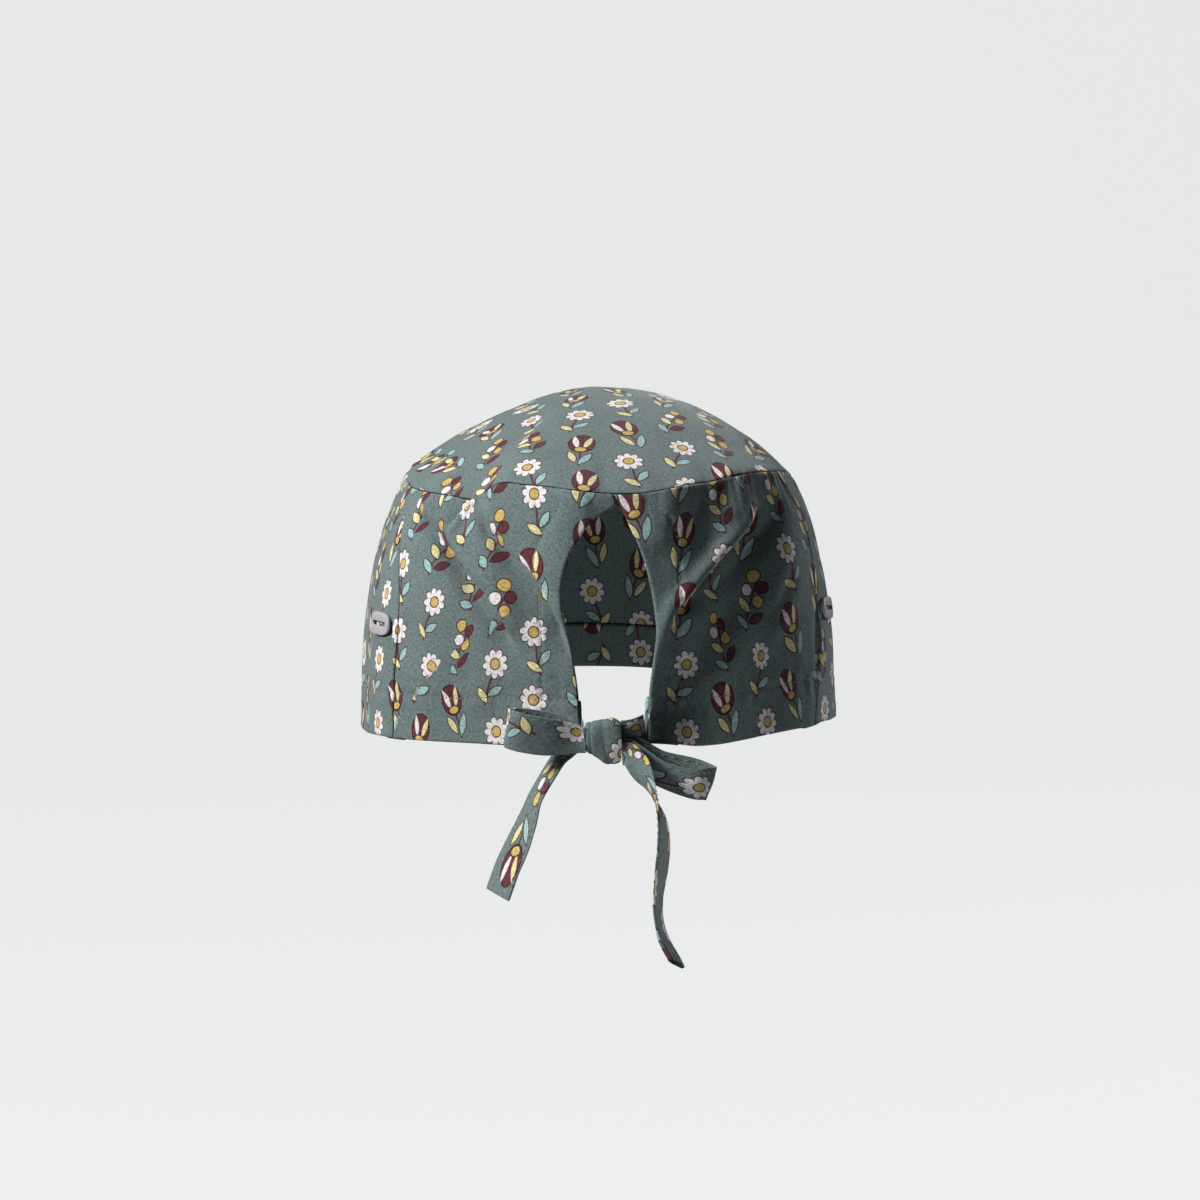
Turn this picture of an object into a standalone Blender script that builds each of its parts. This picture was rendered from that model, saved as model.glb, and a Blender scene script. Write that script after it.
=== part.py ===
"""A scrub cap that ties behind: oval crown, front wall, two back panels round a keyhole, and a bow.

Metres, +Z up, +Y ahead of the wearer, +X to the wearer's right. The origin is the centre of the
head opening, in the plane of the hem.
"""
import math

import bmesh
import bpy
import numpy
from mathutils import Vector

# Cloth
WALL_THICKNESS = 0.0015
TURNED_CLOTH = 0.0010
TIE_THICKNESS = 0.0011
SEAM_GAP = 0.0003

# Plan of the hem: a flattish back with quick corners, and a rounder, longer front
HALF_WIDTH = 0.0855
BACK_DEPTH = 0.080
FRONT_DEPTH = 0.125
BACK_SQUARENESS = 2.8
FRONT_SQUARENESS = 2.15

# Wall and crown
WALL_HEIGHT = 0.089
SIDE_LEAN = 0.0195
HOLLOW_DEPTH = 0.0075
CROWN_RISE = 0.0248
CROWN_ROUNDNESS = 2.1
CROWN_SKEW = 0.20
SIDE_SEAM_DISTANCE = 0.100
FOLD_DEPTH = 0.0034
FOLD_WIDTH = 0.0060

# Keyhole, hem and facings
KEYHOLE_HALF_WIDTH = 0.0160
CLOTH_OVER_KEYHOLE = 0.0035
HEM_HEIGHT = 0.0165
FACING_WIDTH = 0.0110

# Ties and bow
TIE_WIDTH = 0.0138
LEAD_SHARE_AT_HEM = 0.72
LEAD_SHARE_AT_KNOT = 0.58
KNOT_LENGTH = 0.0120
KNOT_HEIGHT = 0.0162
KNOT_DEPTH = 0.0104
KNOT_OFF_CENTRE = -0.0029
KNOT_RISE = 0.0025
LEFT_LOOP_REACH = 0.0320
RIGHT_LOOP_REACH = 0.0360
LEFT_TAIL_DROP = 0.0520
RIGHT_TAIL_DROP = 0.0750

# Side tabs
TAB_LENGTH = 0.0195
TAB_HEIGHT = 0.0080
TAB_THICKNESS = 0.0010
TAB_SLOT_LENGTH = 0.0138
TAB_SLOT_HEIGHT = 0.0015
TAB_DISTANCE = 0.1060
TAB_RISE = 0.0405
TAB_SQUARENESS = 3.2
SLOT_SQUARENESS = 6.0
TAB_CORNER_COUNT = 48

KEYHOLE_APEX = WALL_HEIGHT - CLOTH_OVER_KEYHOLE

# Round the wall, as shares of the hem's length from the centre of the back, left side negative.
# Columns: share round, hem sway / HEM_HEIGHT, seam sway / WALL_HEIGHT, lean / SIDE_LEAN and
# hollow / HOLLOW_DEPTH, where the pull of the bow flattens the curve beside the keyhole
ROUND_THE_WALL = [
    (-0.500, -0.17, 0.030, 0.60, 0.00),
    (-0.360, -0.26, -0.020, 0.75, 0.00),
    (-0.240, -0.40, -0.060, 0.86, 0.00),
    (-0.165, -0.15, -0.055, 0.80, 0.50),
    (-0.125, -0.07, -0.059, 0.76, 1.00),
    (-0.095, -0.04, -0.062, 0.66, 1.32),
    (-0.070, -0.02, 0.005, 0.55, 1.12),
    (-0.050, -0.01, 0.004, 0.50, 0.74),
    (-0.034, 0.00, 0.000, 0.46, 0.40),
    (-0.017, 0.03, -0.012, 0.46, 0.00),
    (0.000, 0.08, -0.022, 0.46, 0.00),
    (0.017, 0.12, -0.022, 0.46, 0.00),
    (0.034, 0.06, -0.012, 0.46, 0.44),
    (0.050, -0.04, 0.002, 0.46, 0.80),
    (0.065, -0.05, 0.007, 0.50, 1.00),
    (0.080, 0.00, 0.019, 0.56, 1.05),
    (0.110, 0.11, 0.031, 0.69, 0.84),
    (0.140, 0.13, 0.026, 0.78, 0.48),
    (0.155, 0.14, 0.021, 0.82, 0.38),
    (0.240, -0.16, -0.055, 0.80, 0.00),
    (0.360, -0.22, -0.025, 0.70, 0.00),
    (0.500, -0.17, 0.030, 0.60, 0.00),
]

# The side seams. Columns: share of the wall's rise, left and right distance round from the centre
# of the back / SIDE_SEAM_DISTANCE
SIDE_SEAMS = [
    (0.00, 0.930, 0.865),
    (0.45, 0.915, 0.930),
    (0.75, 1.010, 0.970),
    (1.00, 1.180, 0.870),
]

# The keyhole's edges. Columns: height / KEYHOLE_APEX, left and right half width / KEYHOLE_HALF_WIDTH
KEYHOLE_EDGES = [
    (0.00, 0.66, 0.81),
    (0.21, 0.70, 0.85),
    (0.33, 0.79, 0.92),
    (0.46, 0.92, 0.98),
    (0.56, 0.98, 0.95),
    (0.66, 1.01, 0.87),
    (0.76, 0.89, 0.75),
    (0.86, 0.63, 0.54),
    (0.94, 0.34, 0.30),
    (1.00, 0.00, 0.00),
]

# Drag folds between the top corners and the knot. Columns: start and end as (distance round from
# the centre of the back / SIDE_SEAM_DISTANCE, height / WALL_HEIGHT), width / FOLD_WIDTH and
# depth / FOLD_DEPTH, out of the cloth when positive
FOLDS = [
    ((-0.80, 0.84), (-0.32, 0.36), 0.75, -0.90),
    ((-0.70, 0.90), (-0.24, 0.40), 1.30, 0.50),
    ((-0.52, 0.93), (-0.15, 0.40), 0.80, -0.60),
    ((-0.88, 0.62), (-0.50, 0.30), 2.20, 0.35),
    ((0.30, 0.90), (0.17, 0.40), 1.30, 0.55),
    ((0.56, 0.97), (0.17, 0.30), 1.10, 0.90),
    ((0.78, 0.95), (0.24, 0.25), 1.50, -1.00),
    ((0.86, 0.80), (0.46, 0.30), 1.60, 0.40),
    ((0.95, 0.45), (0.90, 0.12), 0.80, 0.40),
]

CLOTH = (0.17, 0.23, 0.22)
TAB_GREY = (0.50, 0.50, 0.53)


def smooth(rows, column, at):
    """Value of one column of a table at a place along its first column, with no corners."""
    at = min(max(at, rows[0][0]), rows[-1][0])
    last = len(rows) - 1
    i = next(i for i in range(last) if at <= rows[i + 1][0])

    def slope(k):
        before, after = rows[max(k - 1, 0)], rows[min(k + 1, last)]
        return (after[column] - before[column]) / (after[0] - before[0])

    span = rows[i + 1][0] - rows[i][0]
    t = (at - rows[i][0]) / span
    return (
        rows[i][column] * (2 * t**3 - 3 * t**2 + 1)
        + rows[i + 1][column] * (3 * t**2 - 2 * t**3)
        + slope(i) * span * (t**3 - 2 * t**2 + t)
        + slope(i + 1) * span * (t**3 - t**2)
    )


def hem_outline(samples=1440):
    """Points round the hem from the front, by the left side, the back and the right side."""
    widest_line = (BACK_DEPTH - FRONT_DEPTH) / 2
    points = []
    for k in range(samples + 1):
        angle = math.pi * (2 * k / samples - 1)
        is_back = math.cos(angle) > 0
        depth = BACK_DEPTH if is_back else FRONT_DEPTH
        power = BACK_SQUARENESS if is_back else FRONT_SQUARENESS
        across = abs(math.sin(angle) / HALF_WIDTH) ** power
        along = abs(math.cos(angle) / depth) ** power
        reach = (across + along) ** (-1 / power)
        points.append((reach * math.sin(angle), widest_line - reach * math.cos(angle)))
    return numpy.array(points)


OUTLINE = hem_outline()
STEPS = numpy.linalg.norm(numpy.diff(OUTLINE, axis=0), axis=1)
HEM_LENGTH = float(STEPS.sum())
ARCS = numpy.concatenate([[0], numpy.cumsum(STEPS)]) - HEM_LENGTH / 2


def on_outline(arc):
    """Point of the hem's plan at a distance round from the centre of the back."""
    arc = (arc + HEM_LENGTH / 2) % HEM_LENGTH - HEM_LENGTH / 2
    return Vector((numpy.interp(arc, ARCS, OUTLINE[:, 0]), numpy.interp(arc, ARCS, OUTLINE[:, 1]), 0))


def outward(arc, reach=0.004):
    """Level direction out of the hem's plan."""
    way = (on_outline(arc + reach) - on_outline(arc - reach)).normalized()
    return Vector((way.y, -way.x, 0))


def fold_height(arc, height):
    """How far the drag folds push the cloth out at a place on the back."""
    total = 0.0
    here = Vector((arc, height))
    for start, end, width, depth in FOLDS:
        start = Vector((start[0] * SIDE_SEAM_DISTANCE, start[1] * WALL_HEIGHT))
        end = Vector((end[0] * SIDE_SEAM_DISTANCE, end[1] * WALL_HEIGHT))
        line = end - start
        share = min(max((here - start).dot(line) / line.length_squared, 0), 1)
        across = (here - start - line * share).length / (width * FOLD_WIDTH)
        total += depth * FOLD_DEPTH * math.exp(-across * across) * math.sin(math.pi * (0.12 + 0.76 * share))
    return total


def wall_surface(arc, rise):
    """Point of the wall's outer face. rise is 0 at the hem and 1 at the crown seam."""
    share = (arc / HEM_LENGTH + 0.5) % 1 - 0.5
    low = smooth(ROUND_THE_WALL, 1, share) * HEM_HEIGHT * min(1.0, 1.6 * (1 - rise))
    high = WALL_HEIGHT * (1 + smooth(ROUND_THE_WALL, 2, share))
    lean = smooth(ROUND_THE_WALL, 3, share) * SIDE_LEAN * (0.15 * rise + 0.85 * rise**3)
    height = low + (high - low) * rise
    calm = min(1.0, 8 * (1 - rise)) * min(1.0, 0.15 + 3 * max(rise, 0.0))
    hollow = smooth(ROUND_THE_WALL, 4, share) * HOLLOW_DEPTH
    out = fold_height(share * HEM_LENGTH, height) * calm - lean - hollow
    return on_outline(arc) + outward(arc) * out + Vector((0, 0, height))


def into_cloth(surface, a, b, step_a=0.0015, step_b=0.012):
    """Unit direction into the cloth at a place of a surface, from its slopes over two small steps."""
    along = surface(a + step_a, b) - surface(a - step_a, b)
    up = surface(a, b + step_b) - surface(a, b - step_b)
    return up.cross(along).normalized()


def wall_point(arc, rise, depth):
    """Point inside the wall, at a depth under its outer face."""
    return wall_surface(arc, rise) + into_cloth(wall_surface, arc, rise) * depth


def keyhole_edge(side, height):
    """Distance round from the centre of the back to the keyhole's edge; side is -1 left, 1 right."""
    column = 1 if side < 0 else 2
    share = height / KEYHOLE_APEX
    if share >= 1:
        return 0.0
    return smooth(KEYHOLE_EDGES, column, share) * KEYHOLE_HALF_WIDTH


def seam_arc(side, rise):
    """Distance round from the centre of the back to a side seam; side is -1 left, 1 right."""
    return smooth(SIDE_SEAMS, 1 if side < 0 else 2, rise) * SIDE_SEAM_DISTANCE


def shell(bm, place, cells_across, cells_up, depths):
    """A closed sheet: an outer and an inner grid of cells, bridged round their edges."""
    for depth in depths:
        grid = bmesh.ops.create_grid(bm, x_segments=cells_across, y_segments=cells_up, size=0.5)
        for vertex in grid["verts"]:
            vertex.co = place(vertex.co.x + 0.5, vertex.co.y + 0.5, depth)
    rims = [edge for edge in bm.edges if edge.is_boundary]
    bmesh.ops.bridge_loops(bm, edges=rims)
    bmesh.ops.recalc_face_normals(bm, faces=bm.faces)


def material(name, colour, roughness):
    made = bpy.data.materials.new(name)
    made.use_nodes = True
    principled = made.node_tree.nodes["Principled BSDF"]
    principled.inputs["Base Color"].default_value = (*colour, 1)
    principled.inputs["Roughness"].default_value = roughness
    principled.inputs["Metallic"].default_value = 0
    return made


def add_object(name, bm, colour=CLOTH, roughness=0.85):
    """Make the bmesh an object of the cap, shaded smooth, with its own material."""
    mesh = bpy.data.meshes.new(name)
    bm.to_mesh(mesh)
    bm.free()
    mesh.shade_smooth()
    mesh.set_sharp_from_angle(angle=math.radians(50))
    mesh.materials.append(material(name + "_surface", colour, roughness))
    made = bpy.data.objects.new(name, mesh)
    CAP.objects.link(made)
    return made


def sheet(name, place, cells_across, cells_up, depths):
    bm = bmesh.new()
    shell(bm, place, cells_across, cells_up, depths)
    return add_object(name, bm)


def mix(start, end, share):
    return start + (end - start) * share


for old in list(bpy.data.objects):
    bpy.data.objects.remove(old)
CAP = bpy.data.collections.new("scrub_cap")
bpy.context.scene.collection.children.link(CAP)

# Rise at the wall's top edge, one seam gap under the crown
TOP_RISE = 1 - SEAM_GAP / WALL_HEIGHT
HEM_RISE = HEM_HEIGHT / WALL_HEIGHT
WALL_DEPTHS = (0.0, WALL_THICKNESS)
TURNED_DEPTHS = (WALL_THICKNESS + SEAM_GAP, WALL_THICKNESS + SEAM_GAP + TURNED_CLOTH)


# Rows and columns of the cloth's cells. The turned cloth lies in the same cells as its wall.
HEM_CELL_COUNT = 2
BODY_CELL_COUNT = 14
TOP_CELL_COUNT = 3
FACING_CELL_COUNT = 3
BACK_CELL_COUNT = 20
FRONT_CELL_COUNT = 46
FRONT_BODY_CELL_COUNT = 8
APEX_RISE = KEYHOLE_APEX / WALL_HEIGHT


def front_place(rises):
    """Places on the front panel, from the left side seam round the front to the right one."""
    cells, heights = zip(*rises)

    def place(a, b, depth):
        rise = numpy.interp(b * cells[-1], cells, heights)
        start = -seam_arc(-1, rise) - SEAM_GAP
        end = seam_arc(1, rise) + SEAM_GAP - HEM_LENGTH
        return wall_point(mix(start, end, a), rise, depth)

    return place


def back_place(side, rises, columns=BACK_CELL_COUNT):
    """Places on a back panel, from the keyhole's edge past the facing to the side seam."""
    cells, heights = zip(*rises)

    def place(a, b, depth):
        rise = numpy.interp(b * cells[-1], cells, heights)
        edge = max(keyhole_edge(side, rise * WALL_HEIGHT), SEAM_GAP)
        stops = (edge, edge + FACING_WIDTH, seam_arc(side, rise) - SEAM_GAP)
        arc = numpy.interp(a * columns, (0, FACING_CELL_COUNT, BACK_CELL_COUNT), stops)
        return wall_point(side * arc, rise, depth)

    return place


# Walls, and the cloth turned up and in behind them
HEM_ROWS = [(0, 0), (HEM_CELL_COUNT, HEM_RISE)]
BODY_TOP = HEM_CELL_COUNT + BODY_CELL_COUNT
BACK_ROWS = HEM_ROWS + [(BODY_TOP, APEX_RISE), (BODY_TOP + TOP_CELL_COUNT, TOP_RISE)]
FRONT_ROWS = HEM_ROWS + [(HEM_CELL_COUNT + FRONT_BODY_CELL_COUNT, TOP_RISE)]
FACING_ROWS = [(0, HEM_RISE + SEAM_GAP / WALL_HEIGHT), (BODY_CELL_COUNT, APEX_RISE)]
sheet("front_panel", front_place(FRONT_ROWS), FRONT_CELL_COUNT, FRONT_ROWS[-1][0], WALL_DEPTHS)
sheet("hem_front", front_place(HEM_ROWS), FRONT_CELL_COUNT, HEM_CELL_COUNT, TURNED_DEPTHS)
for side, side_name in ((-1, "left"), (1, "right")):
    panel = back_place(side, BACK_ROWS)
    hem = back_place(side, HEM_ROWS)
    facing = back_place(side, FACING_ROWS, FACING_CELL_COUNT)
    sheet("back_panel_" + side_name, panel, BACK_CELL_COUNT, BACK_ROWS[-1][0], WALL_DEPTHS)
    sheet("hem_" + side_name, hem, BACK_CELL_COUNT, HEM_CELL_COUNT, TURNED_DEPTHS)
    sheet("facing_" + side_name, facing, FACING_CELL_COUNT, BODY_CELL_COUNT, TURNED_DEPTHS)


def crown_surface(x, y):
    """Point of the crown's outer face for a place in the unit disc; -Y is the back."""
    radius = min(math.hypot(x, y), 1.0)
    arc = math.atan2(x, -y) / (2 * math.pi) * HEM_LENGTH
    edge = wall_surface(arc, 1)
    level = WALL_HEIGHT + CROWN_RISE * (1 - radius**CROWN_ROUNDNESS) * (1 + CROWN_SKEW * x)
    return Vector((edge.x * radius, edge.y * radius, level + (edge.z - WALL_HEIGHT) * radius**2))


def crown_point(across, along, depth):
    """Point of the crown for a place in the unit square, stretched to the disc."""
    x, y = 2 * across - 1, 2 * along - 1
    disc = Vector((x * math.sqrt(1 - y * y / 2), y * math.sqrt(1 - x * x / 2)))
    radius = disc.length
    inner = disc * min(1.0, 0.985 / max(radius, 1e-9))
    down = into_cloth(crown_surface, inner.x, inner.y, step_a=0.012)
    if down.z > 0:
        down = -down
    arc = math.atan2(disc.x, -disc.y) / (2 * math.pi) * HEM_LENGTH
    at_seam = into_cloth(wall_surface, arc, TOP_RISE)
    near_seam = radius**12
    return crown_surface(disc.x, disc.y) + down.lerp(at_seam, near_seam).normalized() * depth


sheet("crown_panel", crown_point, 24, 24, WALL_DEPTHS)

# The bow. Its ribbons start SEAM_GAP clear of the knot's flat ends, one behind the other.
KNOT = Vector((
    KNOT_OFF_CENTRE,
    on_outline(0).y - KNOT_DEPTH / 2 + SEAM_GAP,
    KNOT_RISE,
))
RIBBON_PITCH = TIE_THICKNESS + 3 * SEAM_GAP
KNOT_END = KNOT_LENGTH / 2 + SEAM_GAP


# The knot from its left end to its right. Columns: share along from the middle, height and lift,
# both / KNOT_HEIGHT
KNOT_SHAPE = [
    (-1.0, 0.64, 0.16),
    (-0.4, 0.78, 0.12),
    (0.1, 0.96, 0.07),
    (0.6, 1.00, 0.06),
    (1.0, 0.92, 0.05),
]


def knot_point(corner):
    """A point of the knot for one of a cube from -1 to 1: flat ends, a round waist."""
    round_y = corner.y * math.sqrt(1 - 0.42 * corner.z**2)
    round_z = corner.z * math.sqrt(1 - 0.42 * corner.y**2)
    girth = 0.86 + 0.14 * (1 - corner.x**4)
    height = smooth(KNOT_SHAPE, 1, corner.x) * KNOT_HEIGHT
    lift = smooth(KNOT_SHAPE, 2, corner.x) * KNOT_HEIGHT
    return KNOT + Vector((
        corner.x * KNOT_LENGTH / 2,
        round_y * girth * KNOT_DEPTH / 2,
        lift + round_z * height / 2,
    ))


def build_knot():
    bm = bmesh.new()
    bmesh.ops.create_cube(bm, size=2)
    bmesh.ops.subdivide_edges(bm, edges=bm.edges, cuts=5, use_grid_fill=True)
    for vertex in bm.verts:
        vertex.co = knot_point(vertex.co.copy())
    bmesh.ops.recalc_face_normals(bm, faces=bm.faces)
    add_object("tie_knot", bm)


def ribbon(name, stations, cells_along, cells_across=2):
    """A flat strap along its stations: rows of centre point, width and direction across."""
    last = len(stations) - 1
    rows = [(k / last, *centre, width, *across) for k, (centre, width, across) in enumerate(stations)]

    def centre_at(share):
        return Vector([smooth(rows, column, share) for column in (1, 2, 3)])

    def place(a, b, depth):
        ahead, behind = min(a + 0.01, 1), max(a - 0.01, 0)
        forward = (centre_at(ahead) - centre_at(behind)).normalized()
        across = Vector([smooth(rows, column, a) for column in (5, 6, 7)])
        across = (across - forward * across.dot(forward)).normalized()
        width = smooth(rows, 4, a)
        return centre_at(a) + across * (b - 0.5) * width + forward.cross(across) * depth

    sheet(name, place, cells_along, cells_across, (-TIE_THICKNESS / 2, TIE_THICKNESS / 2))


def from_knot(side, out, layer, up):
    """A place beside the knot: out from its end, in a layer of ribbons from the front, and up."""
    return KNOT + Vector((side * (KNOT_END + out), layer * RIBBON_PITCH, up))


def lead(side):
    """The tie from the end of the hem, upright all the way, into the knot's end next to the cap."""
    corners = [
        wall_point(side * keyhole_edge(side, rise * WALL_HEIGHT), rise, depth)
        for rise in (0, HEM_RISE / 2, HEM_RISE)
        for depth in (0, WALL_THICKNESS, TURNED_DEPTHS[1])
    ]
    hem_end = wall_point(side * keyhole_edge(side, 0), HEM_RISE * 0.32, WALL_THICKNESS / 2)
    hem_end.x = side * (min(abs(corner.x) for corner in corners) - SEAM_GAP)
    knot_end = from_knot(side, 0, 0, KNOT_HEIGHT * 0.22)
    knot_end.y = KNOT.y + KNOT_DEPTH / 2 - 2 * SEAM_GAP - TIE_THICKNESS / 2

    def place(a, b, depth):
        ease = 1 - (1 - a) ** 2
        centre = hem_end.lerp(knot_end, ease)
        centre.x = mix(hem_end.x, knot_end.x, a)
        width = TIE_WIDTH * mix(LEAD_SHARE_AT_HEM, LEAD_SHARE_AT_KNOT, ease)
        return centre + Vector((0, side * depth, (b - 0.5) * width))

    depths = (-TIE_THICKNESS / 2, TIE_THICKNESS / 2)
    sheet("tie_lead_" + ("left" if side < 0 else "right"), place, 6, 2, depths)


# Loops. Columns: distance out / reach, layer, height / TIE_WIDTH, width / TIE_WIDTH
LEFT_LOOP = [
    (0.00, -2.0, 0.16, 0.64),
    (0.05, -2.0, 0.16, 0.64),
    (0.20, -2.3, 0.21, 0.78),
    (0.50, -3.2, 0.28, 0.93),
    (0.80, -3.4, 0.38, 0.96),
    (0.95, -2.8, 0.45, 0.97),
    (1.00, -2.0, 0.47, 0.97),
    (0.97, -1.3, 0.49, 0.96),
    (0.80, -0.8, 0.47, 0.95),
    (0.48, -0.5, 0.38, 0.90),
    (0.20, -0.8, 0.24, 0.76),
    (0.05, -1.0, 0.18, 0.64),
    (0.00, -1.0, 0.18, 0.64),
]
RIGHT_LOOP = [
    (0.00, -1.0, -0.18, 0.64),
    (0.07, -1.0, -0.18, 0.64),
    (0.17, -1.3, -0.32, 0.66),
    (0.45, -2.3, -0.70, 0.64),
    (0.78, -2.7, -0.93, 0.74),
    (0.96, -1.9, -0.96, 0.85),
    (1.00, -1.2, -0.96, 0.87),
    (0.96, -0.5, -0.93, 0.88),
    (0.78, 0.3, -0.79, 0.88),
    (0.42, 0.5, -0.58, 0.84),
    (0.17, 0.2, -0.20, 0.72),
    (0.07, 0.0, -0.08, 0.64),
    (0.00, 0.0, -0.08, 0.64),
]


def loop(name, side, reach, rows, lean):
    """A bow loop: out along the near strip, round the fold and back along the far strip."""
    stations = []
    for out, layer, up, width in rows:
        angle = math.radians(lean) * math.sin(math.pi / 2 * out)
        across = Vector((math.sin(angle), 0, math.cos(angle)))
        stations.append((from_knot(side, out * reach, layer, up * TIE_WIDTH), width * TIE_WIDTH, across))
    ribbon(name, stations, 26)


# Tails. Columns: distance out and height / drop, layer, width / TIE_WIDTH, and twist in degrees,
# 0 where the strap faces straight back and 90 where it is edge on
LEFT_TAIL = [
    (0.000, 0.022, 0.0, 0.44, 0),
    (0.034, 0.022, 0.0, 0.44, 0),
    (0.080, -0.002, 0.1, 0.46, -15),
    (0.160, -0.080, 0.5, 0.60, -58),
    (0.240, -0.205, 0.6, 0.86, -73),
    (0.322, -0.350, 0.4, 1.00, -76),
    (0.380, -0.510, 0.0, 1.00, -67),
    (0.440, -0.655, -0.4, 1.00, -59),
    (0.515, -0.820, -0.8, 1.00, -57),
    (0.575, -0.985, -1.0, 1.00, -57),
]
RIGHT_TAIL = [
    (0.000, -0.034, -2.0, 0.56, 0),
    (0.026, -0.034, -2.0, 0.56, 0),
    (0.056, -0.060, -3.0, 0.58, -8),
    (0.096, -0.124, -4.3, 0.70, -48),
    (0.127, -0.185, -4.7, 0.84, -76),
    (0.146, -0.240, -4.8, 0.96, -88),
    (0.172, -0.330, -4.6, 1.00, -103),
    (0.184, -0.450, -3.8, 1.00, -112),
    (0.174, -0.590, -3.0, 1.00, -112),
    (0.162, -0.730, -2.5, 1.00, -106),
    (0.180, -0.860, -3.0, 1.00, -102),
    (0.240, -0.985, -6.2, 1.00, -100),
]


def tail(name, side, drop, rows):
    """A free end, out of the knot's end and down."""
    centres = [from_knot(side, out * drop, layer, up * drop) for out, up, layer, _, _ in rows]
    stations = []
    for k, (_, _, _, width, twist) in enumerate(rows):
        forward = centres[min(k + 1, len(rows) - 1)] - centres[max(k - 1, 0)]
        level = Vector((-forward.z, 0, forward.x)).normalized()
        twist = math.radians(twist)
        across = level * math.cos(twist) + Vector((0, math.sin(twist), 0))
        stations.append((centres[k], width * TIE_WIDTH, across))
    ribbon(name, stations, 22)


build_knot()
lead(-1)
lead(1)
loop("bow_loop_left", -1, LEFT_LOOP_REACH - KNOT_LENGTH / 2, LEFT_LOOP, 9)
loop("bow_loop_right", 1, RIGHT_LOOP_REACH - KNOT_LENGTH / 2, RIGHT_LOOP, 20)
tail("tie_tail_left", -1, LEFT_TAIL_DROP, LEFT_TAIL)
tail("tie_tail_right", 1, RIGHT_TAIL_DROP, RIGHT_TAIL)


def side_tab(side):
    """A plate with one slot, bent to the wall: level top and bottom, bulging sides."""
    outer, inner = -SEAM_GAP - TAB_THICKNESS, -SEAM_GAP
    slot = (TAB_SLOT_LENGTH, TAB_SLOT_HEIGHT, SLOT_SQUARENESS)
    rim = (TAB_LENGTH, TAB_HEIGHT, TAB_SQUARENESS)
    bm = bmesh.new()
    rings = []
    for depth, (length, height, squareness) in ((inner, rim), (outer, rim), (outer, slot), (inner, slot)):
        ring = []
        for k in range(TAB_CORNER_COUNT):
            angle = 2 * math.pi * k / TAB_CORNER_COUNT
            across, up = math.cos(angle), math.sin(angle)
            across = math.copysign(abs(across) ** (2 / squareness), across) * length / 2
            up = math.copysign(abs(up) ** (2 / squareness), up) * height / 2
            place = wall_point(side * TAB_DISTANCE + across, (TAB_RISE + up) / WALL_HEIGHT, depth)
            ring.append(bm.verts.new(place))
        rings.append(ring)
    for ring, following in zip(rings, rings[1:] + rings[:1]):
        for k in range(TAB_CORNER_COUNT):
            bm.faces.new((ring[k - 1], ring[k], following[k], following[k - 1]))
    bmesh.ops.recalc_face_normals(bm, faces=bm.faces)
    add_object("side_tab_" + ("left" if side < 0 else "right"), bm, TAB_GREY, 0.4)


side_tab(-1)
side_tab(1)
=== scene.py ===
import math

import bmesh
import bpy
import numpy as np
from mathutils import Matrix, Vector


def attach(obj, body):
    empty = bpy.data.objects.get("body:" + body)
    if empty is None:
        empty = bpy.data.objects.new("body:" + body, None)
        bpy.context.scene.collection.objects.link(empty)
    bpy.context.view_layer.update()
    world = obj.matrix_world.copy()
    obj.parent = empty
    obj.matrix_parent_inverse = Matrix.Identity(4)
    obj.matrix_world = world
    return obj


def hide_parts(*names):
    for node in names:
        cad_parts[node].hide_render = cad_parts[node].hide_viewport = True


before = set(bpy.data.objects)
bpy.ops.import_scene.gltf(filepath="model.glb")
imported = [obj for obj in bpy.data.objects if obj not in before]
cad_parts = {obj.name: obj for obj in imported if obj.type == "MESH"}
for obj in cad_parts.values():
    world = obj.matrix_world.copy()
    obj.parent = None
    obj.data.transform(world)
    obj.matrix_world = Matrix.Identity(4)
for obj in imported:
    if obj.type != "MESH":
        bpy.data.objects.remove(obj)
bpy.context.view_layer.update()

# The camera. The photograph was taken from behind the cap, from a little to the left and a
# little above it, through a long lens.
camera_distance = 1.5
camera_climb = math.radians(7.9)
camera_turn = math.radians(-3.2)
camera_raised = 0.0369
camera_moved_right = 0.0020
sight = Vector((
    -math.sin(camera_turn) * math.cos(camera_climb),
    math.cos(camera_turn) * math.cos(camera_climb),
    -math.sin(camera_climb),
))
camera_right = Vector((math.cos(camera_turn), math.sin(camera_turn), 0))
camera_up = camera_right.cross(sight)
lens = bpy.data.cameras.new("camera")
lens.sensor_width = 36
lens.lens = 122.85
lens.clip_end = 50
camera = bpy.data.objects.new("camera", lens)
camera.location = -sight * camera_distance + camera_up * camera_raised + camera_right * camera_moved_right
camera.rotation_euler = sight.to_track_quat("-Z", "Y").to_euler()
bpy.context.scene.collection.objects.link(camera)
bpy.context.scene.camera = camera


# The studio. A large soft lamp stands far to the left and above, so the folds show. A pale floor
# sweeps up behind the cap, well below it, because the cap is held up as by a head.
def add_lamp(name, place, aim, size, power, colour):
    lamp = bpy.data.lights.new(name, "AREA")
    lamp.size = size
    lamp.energy = power
    lamp.color = colour
    holder = bpy.data.objects.new(name, lamp)
    holder.location = place
    holder.rotation_euler = (Vector(aim) - Vector(place)).to_track_quat("-Z", "Y").to_euler()
    bpy.context.scene.collection.objects.link(holder)


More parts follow.
